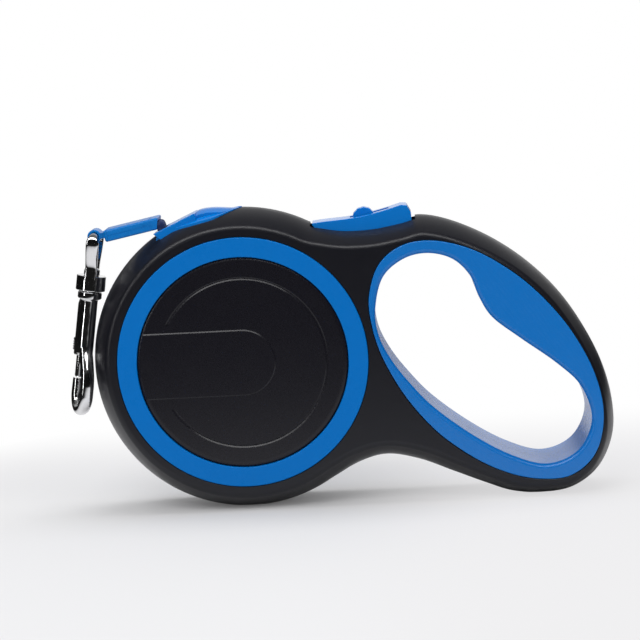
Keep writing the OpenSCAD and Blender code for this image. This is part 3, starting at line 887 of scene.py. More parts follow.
@dataclass
class CasingHalf:
    """One side of the housing: its shell, coloured ring, dark disc and grip liner."""

    form: CasingForm
    side: Side
    ring_outer: float = 46.5
    ring_width: float = 7.3
    ring_rise: float = 0.4
    ring_soft: float = 0.45
    ring_gap: float = 0.06
    disc_gap: float = 0.05
    disc_round: Flat = (2.1, 1.0)
    groove_outer: float = 31.5
    groove_width: float = 0.4
    groove_depth: float = 0.32
    groove_slope: float = 0.42
    groove_stop_x: float = -12.0
    groove_stop: Flat = (-16.4, 15.3)
    tongue_half: float = 12.2
    tongue_margin: float = 0.9
    tongue_rise: float = 0.3
    liner_wall: float = 1.6
    liner_rise: float = 0.3
    liner_round: float = 1.9
    liner_soft: float = 0.4
    liner_gap: float = 0.1
    opening_wall: float = 1.3
    button_slot: float = 7.3
    screw_head: float = 2.15
    screw_depth: float = 3.4
    screws: tuple[Flat, ...] = ((46, 27.5), (88, 16.5), (103.5, 74))
    slot: tuple[Flat, ...] = ((27.2, 92.6), (37, 92.6), (41, 91), (66.4, 98.6), (66.4, 113), (27.2, 113))
    opening_points: tuple[Flat, ...] = (
        (128, 28), (124.6, 40.5), (116, 49.6), (103, 59.6), (93, 67.8), (88.4, 75.5), (85.2, 84),
        (79, 90.3), (70, 92.8), (61, 91), (53.2, 84.5), (50, 73), (50.8, 63.2), (55, 54), (61.4, 45),
        (70, 35.4), (84, 24.3), (98, 16.1), (111, 12.3), (122.5, 16.8))
    liner_points: tuple[Flat, ...] = (
        (132.4, 30), (129.5, 45.8), (121.5, 61.9), (111, 75.3), (99.5, 85.6), (86, 93.7), (72, 97.5),
        (60.5, 96.1), (51.8, 89.3), (47.8, 77.5), (48.6, 66), (52.2, 54), (60, 39.5), (70.5, 26.6),
        (82.4, 17), (94.5, 10.4), (107, 7), (119.5, 7.7), (129, 15.8))
    opening: list[Flat] = field(init=False)
    liner_edge: list[Flat] = field(init=False)

    def __post_init__(self) -> None:
        """Runs the curves of the hand opening."""
        self.opening = smooth_curve(self.opening_points, 9, closed=True)
        self.liner_edge = smooth_curve(self.liner_points, 9, closed=True)

    def out(self, depth: float) -> float:
        """Gives Y of a depth on this half's side."""
        return self.side.value * depth

    def rim(self, name: str, curve: Sequence[Flat], stations: Sequence[Flat]) -> bpy.types.Object:
        """Lays a closed solid over copies of one curve.

        Args:
            name: The solid's name.
            curve: The curve.
            stations: How far each copy is grown, and its depth.

        Returns:
            The solid.
        """
        rings = [[Vector((x, self.out(depth), z)) for x, z in grown(curve, by)] for by, depth in stations]
        return skin(name, rings)

    def turned(self, name: str, profile: Sequence[Flat]) -> bpy.types.Object:
        """Turns a profile of radius and depth about the reel's axle."""
        return lathe(name, [(r, self.out(d)) for r, d in profile], self.form.axle, 192)

    def shell(self, seat: Callable[[], list[bpy.types.Object]]) -> bpy.types.Object:
        """Builds the shell.

        Args:
            seat: Makes the solids that the tape nozzle's seat takes out.

        Returns:
            The shell.
        """
        form, half = self.form, self.form.half
        floor = half - form.trim_depth
        piece = skin(f"{self.side.word}_shell", form.rings(self.side))
        cavity = skin("cavity", form.hollow(self.side))
        wall = grown(self.opening, self.liner_wall + self.opening_wall)
        combine(cavity, plate("opening_wall", wall, self.out(-2), self.out(half)))
        combine(piece, cavity)
        # recesses of the ring and the liner, each with a soft lead-in
        r, gap = self.ring_outer + self.ring_gap, self.liner_gap
        combine(piece, self.turned("ring_recess", [
            (r, floor), (r, half - 0.35), (r + 0.1, half - 0.12), (r + 0.35, half + 0.05),
            (r + 1.3, half + 1)]))
        combine(piece, self.rim("liner_recess", self.liner_edge, [
            (gap, floor - 0.2), (gap, half - 0.4), (0.2, half - 0.12), (0.45, half + 0.05),
            (1.2, half + 0.8)]))
        hole = grown(self.opening, self.liner_wall + gap)
        combine(piece, plate("hand_hole", hole, self.out(-1), self.out(half + 1)))
        combine(piece, plate("button_slot", self.slot, self.out(-1), self.out(self.button_slot)))
        for solid in seat():
            combine(piece, solid)
        if self.side is Side.REAR:
            r = self.screw_head
            profile = [(r, half - self.screw_depth), (r, half - 0.3), (r + 0.9, half + 0.6)]
            for centre in self.screws:
                combine(piece, lathe("screw_hole", profile, centre, 40))
        shade(piece, 32)
        return piece

    def ring(self) -> bpy.types.Object:
        """Builds the coloured ring, with softened edges.

        Returns:
            The ring.
        """
        outer, inner, r = self.ring_outer, self.ring_outer - self.ring_width, self.ring_soft
        base, top = self.form.half - self.form.trim_depth, self.form.half + self.ring_rise
        corner = quarter(r, 15)
        section = [(outer, base), *[(outer - r + c, top - r + s) for c, s in corner]]
        section += [(inner + r - c, top - r + s) for c, s in reversed(corner)]
        section.append((inner, base))
        piece = hoop(f"{self.side.word}_band", [(r, self.out(d)) for r, d in section], self.form.axle)
        shade(piece)
        return piece

    def disc(self) -> bpy.types.Object:
        """Builds the disc inside the ring, with its groove and its raised round-ended tongue.

        Returns:
            The disc.
        """
        form, face = self.form, self.form.half
        rim = self.ring_outer - self.ring_width - self.disc_gap
        wide, deep = self.disc_round
        profile = [(rim, face - form.trim_depth), (rim, face - deep)]
        profile += [(rim - wide + wide * c, face - deep + deep * s) for c, s in quarter(1.0, 10, 10)]
        # more circles on the flat keep its faces short
        profile += [(r, face) for r in (34.0, 32.5, 30.0, 20.0, 8.0)]
        piece = self.turned(f"{self.side.word}_plate", profile)
        outer, inner, slope = self.groove_outer, self.groove_outer - self.groove_width, self.groove_slope
        low = face - self.groove_depth
        section = [(inner + 0.1, low), (outer - 0.1, low), (outer + slope, face + 0.03),
                   (outer + slope, face + 1), (inner - slope, face + 1), (inner - slope, face + 0.03)]
        groove = hoop("groove", [(r, self.out(d)) for r, d in section], form.axle)
        # the groove stops short of the tongue
        below, above = (form.axle[1] + z for z in self.groove_stop)
        combine(groove, block("stop", (-rim - 2, self.out(face) - 2, below),
                              (self.groove_stop_x, self.out(face) + 2, above)))
        combine(piece, groove)
        t, reach = self.tongue_half, rim - self.tongue_margin
        side = math.degrees(math.asin(t / reach))
        tongue = [on_circle(form.axle, t, a) for a in range(-90, 91, 5)]
        tongue += [on_circle(form.axle, reach, 180 - side + 2 * side * k / 12) for k in range(13)]
        stations = [(0.12, face - 1), (0.12, face), (-0.33, face + self.tongue_rise)]
        combine(piece, self.rim("tongue", tongue, stations), Cut.JOIN)
        shade(piece, 32)
        return piece

    def liner(self) -> bpy.types.Object:
        """Builds the liner of the hand opening: a rim on the side face and a tube through the grip.

        Returns:
            The liner.
        """
        half, top = self.form.half, self.form.half + self.liner_rise
        r, soft = self.liner_round, self.liner_soft
        stations = [(0, half - self.form.trim_depth), *[(c - soft, top - soft + s) for c, s in quarter(soft)]]
        piece = self.rim(f"{self.side.word}_liner", self.liner_edge, stations)
        tube = plate("tube", grown(self.opening, self.liner_wall), self.out(0.02), self.out(half - 0.4))
        combine(piece, tube, Cut.JOIN)
        flare = [(r - c, top - r + s) for c, s in quarter(r, 10)]
        way = [(0, -1), (0, 6), *flare[:-1], (r + 0.02, top + 0.6)]
        combine(piece, self.rim("way_through", self.opening, way))
        shade(piece, 30)
        return piece

    def build(self, palette: Palette, seat: Callable[[], list[bpy.types.Object]]) -> None:
        """Builds this half and hands its pieces over.

        Args:
            palette: The finishes.
            seat: Makes the solids that the tape nozzle's seat takes out.
        """
        word = self.side.word
        hand_over(self.shell(seat), palette.casing, "casing", "casing_black", f"{word}_casing")
        hand_over(self.ring(), palette.trim, "casing", "trim_blue", f"{word}_ring")
        hand_over(self.disc(), palette.disc, "casing", "disc_black", f"{word}_disc")
        hand_over(self.liner(), palette.liner, "casing", "trim_blue", f"{word}_grip_liner")


# ---------------------------------------------------------------- tape nozzle


@dataclass
class TapeNozzle:
    """The saddle on top of the casing that the tape leaves by."""

    form: CasingForm
    rise: float = 0.75
    lip: float = 0.35
    end_rise: float = 0.2
    level_x: float = -20.0
    depth: float = 3.6
    seat_gap: float = 0.12
    block_rise: float = 1.5
    block_sunk: float = 0.3
    block_depth: float = 2.4
    block_half: float = 8.0
    block_margin: float = 1.6
    block_start: float = -18.8
    block_peak: float = -13.5
    block_end: float = 0.8
    block_foot: float = 1.5
    throat_gap: float = 0.08
    throat_half: float = 9.6
    way_half: float = 7.8
    mouth: Flat = (-25.6, 104.881)
    lead: Flat = (0.986593, -0.163201)
    guide: Flat = (-25.975, 102.612)
    guide_r: float = 1.5
    plan: tuple[Flat, ...] = (
        (-34, 7.6), (-30, 8.4), (-24, 9.4), (-16, 11.4), (-9, 11.4), (-4, 8.6), (0, 4.4), (2, 0.6), (3, -2))
    throat_points: tuple[Flat, ...] = ((-30.4, 1.2), (-15, 1.2), (-15, -4.6), (-28.8, -4.6))

    def top(self, x: float, y: float, rise: float) -> Vector:
        """Gives the point above the casing's crown at X and Y."""
        r = self.form.radius + rise - self.form.crown_reel * (y / self.form.half) ** 2
        return Vector((x, y, self.form.axle[1] + math.sqrt(max(r * r - x * x, 0.0))))

    def patch(self, name: str, edge: Sequence[Flat], rise: Callable[[float, float], float],
              depth: float) -> bpy.types.Object:
        """Lays a thick patch over the crown.

        Args:
            name: The patch's name.
            edge: X and half width of each row.
            rise: Gives the height over the casing from X and the share of the half width.
            depth: The patch's thickness.

        Returns:
            The patch.
        """
        half = (0.16, 0.33, 0.5, 0.66, 0.8, 0.88, 0.93, 0.97, 1.0)
        shares = [*[-share for share in reversed(half)], 0.0, *half]
        under = rise(self.level_x, 1) - depth
        rings = []
        for x, w in edge:
            row = [self.top(x, w * share, rise(x, abs(share))) for share in shares]
            rings.append(row + [self.top(x, p.y, under) for p in reversed(row)])
        return skin(name, rings)

    def saddle_rise(self, x: float, share: float) -> float:
        """Gives the saddle's height over the casing: a lip round a lower middle, running out towards +X."""
        return (self.rise - self.lip * (1 - eased(0.8, 0.93, share))
                - (self.rise - self.end_rise) * eased(-12, 2, x))

    def block_height(self, x: float, _share: float) -> float:
        """Gives the raised block's height over the casing: a short ramp up, then a long one down."""
        shape = eased(self.block_start, self.block_peak, x) * (1 - eased(self.block_peak, self.block_foot, x))
        return (self.block_rise + self.block_sunk) * shape - self.block_sunk

    def plan_rows(self, grow: float) -> list[Flat]:
        """Gives the rows of the saddle's plan.

        Args:
            grow: The clearance that it is grown by.

        Returns:
            X and half width of each row.
        """
        rows = [(x, max(w, 0.25) + grow) for x, w in smooth_curve(self.plan, 7, closed=False)]
        return [(rows[0][0] - grow, rows[0][1]), *rows[1:-1], (rows[-1][0] + grow, rows[-1][1])]

    def throat(self, grow: float) -> bpy.types.Object:
        """Builds the throat inside the casing.

        Args:
            grow: The clearance that it is grown by.

        Returns:
            The throat.
        """
        r = self.form.radius
        outline = []
        for x, out in self.throat_points:
            reach = r + out + math.copysign(grow, out)
            px, pz = on_circle(self.form.axle, reach, math.degrees(math.acos(x / r)))
            outline.append((px + math.copysign(grow, x - self.level_x), pz))
        return plate("throat", outline, -self.throat_half - grow, self.throat_half + grow)

    def seat(self) -> list[bpy.types.Object]:
        """Makes the solids that the seat takes out of the casing.

        Returns:
            The saddle's seat and the throat's room.
        """
        tall, rows = 6.0, self.plan_rows(self.seat_gap)
        low = self.patch("saddle_seat", rows, lambda x, share: tall, tall + self.depth + 0.05)
        return [low, self.throat(self.throat_gap)]

    def build(self, palette: Palette) -> None:
        """Builds the nozzle and hands it over.

        Args:
            palette: The finishes.
        """
        plan = self.plan_rows(0.0)
        piece = self.patch("nozzle_saddle", plan, self.saddle_rise, self.depth)
        round_edges(piece, 0.3, 3, 50)
        rows = [(x, min(self.block_half, w - self.block_margin)) for x, w in plan
                if self.block_start <= x <= self.block_end]
        raised = self.patch("step", rows, self.block_height, self.block_depth)
        round_edges(raised, 0.45, 3, 50)
        combine(piece, raised, Cut.JOIN)
        throat = self.throat(0.0)
        round_edges(throat, 0.35, 3, 50)
        combine(piece, throat, Cut.JOIN)
        # the tape's way out, and the room and the holes of the pin that it runs over
        lead, mouth = Vector(self.lead), Vector(self.mouth)
        up = Vector((-lead.y, lead.x))
        way = [mouth - lead * 9 + up * 4.6, mouth - lead * 9 - up * 1.6, mouth - up * 1.1,
               mouth + lead * 16 - up * 2, mouth + lead * 16 + up * 1.4, mouth + lead + up * 1.2]
        combine(piece, plate("way", [tuple(p) for p in way], -self.way_half, self.way_half))
        for name, gap, past in (("pin_room", 0.5, 0), ("pin_hole", 0.02, 1)):
            r, y = self.guide_r + gap, self.way_half + past
            combine(piece, lathe(name, [(r, -y), (r, y)], self.guide, 40))
        shade(piece, 35)
        hand_over(piece, palette.gloss_trim, "casing", "trim_blue", "tape_nozzle")


# ---------------------------------------------------------------- brake button


@dataclass
class BrakeButton:
    """The brake button in the saddle of the grip, with the lock that slides on it."""

    width: float = 14.0
    axis: Flat = (33.5, 96.5)
    pivot_r: float = 1.45
    boss_r: float = 2.9
    boss_gap_r: float = 3.4
    wall: float = 1.6
    edge_round: float = 1.1
    press_x: float = 44.5
    knob: Flat = (47.3, 105.3)
    knob_r: float = 4.3
    knob_half: float = 2.8
    knob_ribs: int = 5
    rib_depth: float = 0.16
    foot_z: float = 98.7
    nose: tuple[Flat, ...] = (
        (-0.85, 98.1), (-0.6, 97.5), (0.0, 97.25), (0.6, 97.5), (0.85, 98.1), (0.85, 103.7), (-0.85, 103.7))
    top: tuple[Flat, ...] = (
        (23, 104.8), (28, 105.2), (33, 105.65), (41, 106.2), (48, 107.2), (55, 108.7), (61.2, 110.4),
        (67, 112.4))
    under: tuple[Flat, ...] = (
        (63.4, 110.2), (64.9, 107.5), (65.1, 102.1), (57, 102.1), (56, 100.4), (37.4, 99.5), (36.4, 96.5),
        (30.6, 96.5), (30.2, 101.5), (28, 104.6))
    hollow: tuple[Flat, ...] = (
        (31.4, 93), (31.4, 103.4), (57.6, 103.4), (59, 107), (62.4, 108.3), (63.3, 106), (63.3, 93))

    def body(self) -> bpy.types.Object:
        """Builds the button.

        Returns:
            The button.
        """
        w, inside = self.width / 2, self.width / 2 - self.wall
        side = [*smooth_curve(self.top, 6, closed=False), *self.under]
        piece = plate("button_cap", side, -w, w)
        round_edges(piece, self.edge_round, 4, 28)
        combine(piece, lathe("pivot", [(self.boss_r, -w), (self.boss_r, w)], self.axis, 48), Cut.JOIN)
        combine(piece, plate("hollow", self.hollow, -inside, inside))
        gap = [(self.boss_gap_r, 1 - inside), (self.boss_gap_r, inside - 1)]
        combine(piece, lathe("pivot_gap", gap, self.axis, 48))
        nose = [(self.press_x + x, z) for x, z in self.nose]
        combine(piece, plate("nose", nose, -2.2, 2.2), Cut.JOIN)
        combine(piece, lathe("pin_hole", [(self.pivot_r, -w - 1), (self.pivot_r, w + 1)], self.axis, 32))
        # the track that the knob slides in, and the slot of its stem
        kx, kz = self.knob
        track = block("track", (kx - 5.2, -3.2, kz - 0.3), (kx + 9.4, 3.2, kz + 20))
        round_edges(track, 0.4, 2, 50)
        combine(piece, track)
        combine(piece, block("stem_slot", (kx - 1.8, -1.6, kz - 4), (kx + 5.3, 1.6, kz + 2)))
        shade(piece, 35)
        return piece

    def lock(self) -> bpy.types.Object:
        """Builds the lock: a ribbed half-round knob on a plate with a toe.

        Returns:
            The lock.
        """
        (kx, kz), r, steps = self.knob, self.knob_r, 60
        arc = []
        for k in range(steps + 1):
            a = math.pi * k / steps
            # ribs across the thumb's way, which fade towards both ends of the arc
            wave = 0.5 - 0.5 * math.cos(2 * math.pi * (self.knob_ribs + 1) * k / steps)
            dip = self.rib_depth * wave * eased(0, 8, min(k, steps - k))
            arc.append((kx + (r - dip) * math.cos(a), kz + 0.4 + (r - dip) * math.sin(a)))
        piece = plate("lock_knob", [*arc, (kx - r, kz), (kx + r, kz)], -self.knob_half, self.knob_half)
        round_edges(piece, 0.5, 3, 60)
        # stem, plate under the button, leg and toe
        foot = self.foot_z
        for low, high in (((kx - 1.5, -1.3, kz - 3.4), (kx + 1.5, 1.3, kz + 0.4)),
                          ((kx - 1.5, -3.6, kz - 3.4), (kx + 11.9, 3.6, kz - 2.2)),
                          ((kx + 10.7, -3.6, foot), (kx + 11.9, 3.6, kz - 2.2)),
                          ((kx + 10.7, -3.6, foot), (kx + 14, 3.6, foot + 1))):
            combine(piece, block("foot", low, high), Cut.JOIN)
        shade(piece, 30)
        return piece

    def build(self, palette: Palette) -> None:
        """Builds the button and its lock and hands them over."""
        hand_over(self.body(), palette.gloss_trim, "button", "trim_blue", "brake_button")
        hand_over(self.lock(), palette.gloss_trim, "lock", "trim_blue", "lock_slider")


# ---------------------------------------------------------------- end of the tape


@dataclass
class TapeEnd:
    """The tape outside the casing: its neck, the stiff sleeve and the loop that the hook hangs in."""

    mouth: Flat = (-25.6, 104.881)
    lead: Flat = (0.986593, -0.163201)
    tilt: float = 11.0
    tape_width: float = 14.4
    tape_thick: float = 1.0
    sleeve_length: float = 21.0
    sleeve_thick: float = 4.4
    sleeve_width: float = 16.0
    loop_r: float = 2.55
    loop_bore: float = 1.55
    loop_width: float = 9.5
    loop_y: float = -2.0
    loop_soft: float = 0.4
    curl: float = 1.9
    pull: Vector = field(init=False)
    pull_up: Vector = field(init=False)
    near: Vector = field(init=False)
    far: Vector = field(init=False)
    loop_at: Vector = field(init=False)

    def __post_init__(self) -> None:
        """Places the sleeve and the loop."""
        a = math.radians(self.tilt)
        self.pull = Vector((-math.cos(a), -math.sin(a)))
        self.pull_up = Vector((-math.sin(a), math.cos(a)))
        self.near = Vector(self.mouth) + Vector((-3.2, 3.3))
        self.far = self.near + self.pull * self.sleeve_length
        self.loop_at = self.far + self.pull * (self.loop_r + 1.2) + self.pull_up * 0.8

    def in_pull(self, at: Vector) -> Matrix:
        """Gives the place of a piece drawn along +X towards the casing from a point on the tape."""
        turn = Matrix.Rotation(-math.radians(self.tilt), 4, "Y")
        return Matrix.Translation((at.x * MM, 0, at.y * MM)) @ turn

    def section(self) -> list[Flat]:
        """Gives the tape's section, with rounded selvedges.

        Returns:
            Y and height of each corner.
        """
        half, thick = self.tape_width / 2, self.tape_thick / 2
        soft = thick * 0.6
        angles = [math.radians(a) for a in range(-90, 91, 30)]
        turns = [(soft * math.cos(a), thick * math.sin(a)) for a in angles]
        flat = [(half - thick) * share for share in (0.9, 0.8, 0.7, 0.6, 0.4, 0.2)]
        flat += [0.0, *[-y for y in reversed(flat)]]
        section = [(half - soft + y, z) for y, z in turns]
        section += [(y, thick) for y in flat]
        section += [(soft - half - y, z) for y, z in reversed(turns)]
        section += [(y, -thick) for y in reversed(flat)]
        return section

    def neck(self) -> bpy.types.Object:
        """Builds the short stretch of tape between the nozzle and the sleeve, with rounded selvedges.

        Returns:
            The neck.
        """
        mouth, lead, half = Vector(self.mouth), Vector(self.lead), self.tape_width / 2
        points = [mouth + lead * 4, mouth - lead * 0.3, mouth - lead * 1.4 + Vector((0, 0.5)),
                  self.near - self.pull * 0.6, self.near + self.pull * 2.5, self.near + self.pull * 6]
        path = [Vector(p) for p in smooth_curve([tuple(p) for p in points], 22, closed=False)]
        first, last = path.index(points[1]), path.index(points[4])
        rings = []
        for i, p in enumerate(path):
            along = (path[min(i + 1, len(path) - 1)] - path[max(i - 1, 0)]).normalized()
            up = Vector((-along.y, along.x))
            # free of the slits, both edges of the tape curl under
            curl = self.curl * math.sin(math.pi * min(1.0, max(0.0, (i - first) / (last - first))))
            ring = []
            for y, z in self.section():
                height = z + curl * eased(0.45, 1, abs(y) / half)
                ring.append(Vector((p.x + up.x * height, y, p.y + up.y * height)))
            rings.append(ring)
        piece = skin("tape_fold", rings)
        shade(piece, 50)
        return piece

    def sleeve(self) -> bpy.types.Object:
        """Builds the sleeve: a chamfered bar with a lip at its near end, a seam and two rivets.

        Returns:
            The sleeve.
        """
        length, t, w = self.sleeve_length, self.sleeve_thick / 2, self.sleeve_width / 2
        piece = block("sleeve_bar", (-length, -w, -t), (0, w, t))
        round_edges(piece, 0.75, 3, 50)
        # the near end slants, with its upper edge standing out over the tape
        with edit_mode(piece):
            bpy.ops.mesh.select_all(action="SELECT")
            bpy.ops.mesh.bisect(plane_co=(-0.6 * MM, 0, 0), plane_no=(math.cos(0.3), 0, -math.sin(0.3)),
                                use_fill=True, clear_outer=True)
        # seam along each edge, and the stop before the loop
        for s in (-1, 1):
            combine(piece, block("seam", (-length + 1.5, s * w - 0.12, -0.1), (-2.4, s * w + 0.12, 0.1)))
        for x in (-length + 1.25, -3.3):
            frame = block("band", (x - 0.15, -w - 1, -t - 1), (x + 0.15, w + 1, t + 1))
            combine(frame, block("core", (x - 1, -w + 0.14, -t + 0.14), (x + 1, w - 0.14, t - 0.14)))
            combine(piece, frame)
        for y in (-5.2, 5.2):
            dimple = lathe("dimple", [(0.62, -0.25), (0.62, 0.05), (0.8, 0.3)], (0, 0), 24)
            at = Matrix.Translation((-6.2 * MM, y * MM, t * MM))
            settle(dimple, at @ Matrix.Rotation(math.pi / 2, 4, "X"))
            combine(piece, dimple)
        for s in (-1, 1):
            profile = [(0.42, s * (w - 0.3)), (0.42, s * w), (0.6, s * (w + 0.3))]
            combine(piece, lathe("side_dimple", profile, (-5.6, 0.2), 20))
        combine(piece, block("tape_slit", (-4.4, -7.5, -0.85), (4, 7.5, 0.85)))
        shade(piece, 35)
        settle(piece, self.in_pull(self.near))
        loop_gap = block("loop_slit", (-1, self.loop_y - 4.8, -1.45), (4, self.loop_y + 4.8, 1.25))
        settle(loop_gap, self.in_pull(self.far))
        combine(piece, loop_gap)
        return piece

    def loop(self) -> bpy.types.Object:
        """Builds the rolled loop on the end of the sleeve.

        Returns:
            The loop.
        """
        centre, r, bore, soft = self.loop_at, self.loop_r, self.loop_bore, self.loop_soft
        up, back = self.pull_up, self.far - self.pull * 3.5
        over = up * self.tape_thick
        tail = [centre + over, back + up * 1.2, back - up * 1.1, centre - over]
        y0, y1 = self.loop_y - self.loop_width / 2, self.loop_y + self.loop_width / 2
        roll = [(r - soft + c, y0 + soft - s) for c, s in reversed(quarter(soft, 15))]
        roll += [(radius, y0 + y1 - y) for radius, y in reversed(roll)]
        piece = lathe("hook_loop", roll, tuple(centre), 48)
        combine(piece, plate("tail", [tuple(p) for p in tail], y0 + 0.1, y1 - 0.1), Cut.JOIN)
        profile = [(bore + 0.5, y0 - 0.3), (bore, y0 + 0.3), (bore, y1 - 0.3), (bore + 0.5, y1 + 0.3)]
        combine(piece, lathe("bore", profile, tuple(centre), 48))
        shade(piece, 40)
        return piece

    def build(self, palette: Palette) -> None:
        """Builds the tape's end and hands its pieces over.

        Args:
            palette: The finishes.
        """
        neck = self.neck()
        neck.data.materials.clear()
        neck.data.materials.append(palette.tape)
        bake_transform(neck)
        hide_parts("tape_neck")
        LOG.info("%s: %d faces from casing to leash_end", neck.name, len(neck.data.polygons))
        hand_over(self.sleeve(), palette.sleeve, "leash_end", "sleeve_blue", "tape_sleeve")
        hand_over(self.loop(), palette.sleeve, "leash_end", "sleeve_blue", "tape_loop")


# ---------------------------------------------------------------- snap hook


@dataclass
class SnapHook:
    """The swivel snap hook, drawn hanging from its loop along -Z with its opening towards -X."""

    hang: Vector
    hang_y: float = -2.0
    lean: float = 9.0
    turn: float = 66.0
    eye_r: float = 1.5
    eye_corner: float = 8.5
    leg_end: float = 4.6
    boss_r: float = 5.5
    boss: Flat = (15.0, 20.6)
    collar_r: float = 4.5
    collar_end: float = 24.4
    barrel_r: float = 3.2
    barrel_end: float = 45.0
    bolt_u: float = -4.6
    bolt_r: float = 1.4
    bolt: Flat = (40.0, 54.4)
    bore_top: float = 28.0
    bowl_u: float = 1.3
    bowl_w: float = 60.0
    bowl_r: float = 5.9
    wire_r: float = 2.0
    wire_square: float = 2.3
    spine_half: float = 2.5
    spine: tuple[tuple[float, ...], ...] = (
        (0.0, 37.0, 2.4, 2.4), (0.4, 40.6, 2.5, 2.5), (1.6, 44.0, 2.3, 2.55), (4.2, 48.2, 2.05, 2.55),
        (6.5, 52.6, 1.95, 2.5), (7.2, 56.4, 1.95, 2.5), (7.2, 60.0, 2.0, 2.5))

    def place(self, turn: float) -> Matrix:
        """Gives the place of a piece of the hook.

        Args:
            turn: How far it is turned about the hook's own length, in degrees.

        Returns:
            The place.
        """
        hung = Matrix.Translation((self.hang.x * MM, self.hang_y * MM, self.hang.y * MM))
        lean = Matrix.Rotation(math.radians(self.lean), 4, "Y")
        return hung @ lean @ Matrix.Rotation(math.radians(-turn), 4, "Z")

    def upright(self, name: str, profile: Sequence[Flat], u: float = 0.0,
                steps: int = 64) -> bpy.types.Object:
        """Turns a profile about an axis down the hook.

        Args:
            name: The piece's name.
            profile: Radius and distance down the hook of each corner.
            u: Where the axis is.
            steps: Sides of the circle.

        Returns:
            The turned piece.
        """
        piece = lathe(name, profile, steps=steps)
        settle(piece, Matrix.Translation((u * MM, 0, 0)) @ Matrix.Rotation(-math.pi / 2, 4, "X"))
        return piece

    def bore(self, piece: bpy.types.Object, radius: float, start: float, end: float, u: float = 0.0) -> None:
        """Bores a hole down the hook into a piece."""
        combine(piece, self.upright("bore", [(radius, start), (radius, end)], u, 40))

    def soft_drum(self, r: float, top: float, end: float, soft: float = 0.35) -> list[Flat]:
        """Gives the profile of a drum with rounded rims."""
        turns = [(soft - s, soft - c) for c, s in quarter(soft)]
        return [(r - back, top + down) for back, down in turns] + [
            (r - back, end - down) for back, down in reversed(turns)]

    def sweep(self, name: str, path: Sequence[Sequence[float]], count: int = 32) -> bpy.types.Object:
        """Sweeps an oval along a path in the hook's plane.

        Args:
            name: The piece's name.
            path: u, w, half thickness in the plane, half width across it and squareness (2 for an oval) at
                each station.
            count: Points round the oval.

        Returns:
            The swept piece.
        """
        rings = []
        for i, (u, w, thin, wide, square) in enumerate(path):
            a, b = path[max(i - 1, 0)], path[min(i + 1, len(path) - 1)]
            along = Vector((b[0] - a[0], a[1] - b[1])).normalized()
            normal = Vector((-along.y, along.x))
            ring = []
            for k in range(count):
                angle = 2 * math.pi * k / count
                c, s = math.cos(angle), math.sin(angle)
                c = math.copysign(abs(c) ** (2 / square), c)
                s = math.copysign(abs(s) ** (2 / square), s)
                ring.append(Vector((u + normal.x * thin * c, wide * s, -w + normal.y * thin * c)))
            rings.append(ring)
        return skin(name, rings)

    def eye(self) -> bpy.types.Object:
        """Builds the eye: a bar through the loop, two flat legs and the boss that the hook turns in.

        Returns:
            The eye.
        """
        c, e, r, top, bend = self.eye_corner, self.leg_end, self.eye_r, self.boss[0], 2.4
        half = [(e, top + 1.0, 1.0, 2.1, 4.0), (e + 0.05, top - 1.5, 1.0, 2.15, 4.0)]
        for t in (0.15, 0.25, 0.35, 0.45, 0.55, 0.65, 0.75, 0.85, 0.95, 1.0):
            half.append((e + (c - e) * eased(0.15, 1.05, t), top - 1.5 - (top - 4.3) * t,
                         1.05, 2.15 + 0.25 * t, 4.0))
        # the corner, where the flat leg turns into the round bar
        for k in range(1, 13):
            a = math.pi / 2 * k / 12
            blend = eased(0, 1, k / 12)
            half.append((c - bend + bend * math.cos(a), bend - bend * math.sin(a),
                         1.05 + (r - 1.05) * blend, 2.4 + (r - 2.4) * blend, 4.0 - 2.0 * blend))
        strap = half + [(y, 0.0, r, r, 2.0) for y in (4.9, 2.0)]
        bar = self.sweep("eye_frame", [*strap, *[(-y, *rest) for y, *rest in reversed(strap)]])
        settle(bar, Matrix.Rotation(math.pi / 2, 4, "Z"))
        combine(bar, self.upright("boss", self.soft_drum(self.boss_r, *self.boss, 0.3)), Cut.JOIN)
        self.bore(bar, 1.95, top - 4, self.boss[1] + 4)
        shade(bar, 38)
        settle(bar, self.place(0))
        return bar

    def rivet(self) -> bpy.types.Object:
        """Builds the rivet that holds the hook in its boss.

        Returns:
            The rivet.
        """
        top = self.boss[0] - 0.1
        dome = [(0.6, -3.0), (1.6, -2.9), (2.4, -2.6), (2.85, -2.1), (3.0, -1.4), (3.0, -0.3), (2.8, 0.0),
                (1.9, 0.0)]
        profile = [*[(r, top + w) for r, w in dome], (1.9, self.collar_end + 4)]
        piece = self.upright("hook_rivet", profile, 0, 48)
        shade(piece, 35)
        settle(piece, self.place(0))
        return piece

    def wire_path(self) -> list[tuple[float, ...]]:
        """Gives the wire's way down the spine and round the bowl to the nose.

        Returns:
            The stations that sweep takes.
        """
        r, wide = self.wire_r, self.spine_half
        path = smooth_curve(self.spine, 6, closed=False)
        for k in range(19):
            u, w = on_circle((self.bowl_u, self.bowl_w), self.bowl_r, 10 * k)
            path.append((u, w, r, wide - (wide - r) * eased(0, 1, k / 18)))
        # the nose thins a little towards its end
        for t in (1.2, 2.4, 3.6, 4.8, 5.3):
            thin = r - 0.1 * t / 5
            path.append((self.bolt_u, self.bowl_w - t, thin, thin))
        return [(*station, self.wire_square) for station in path]

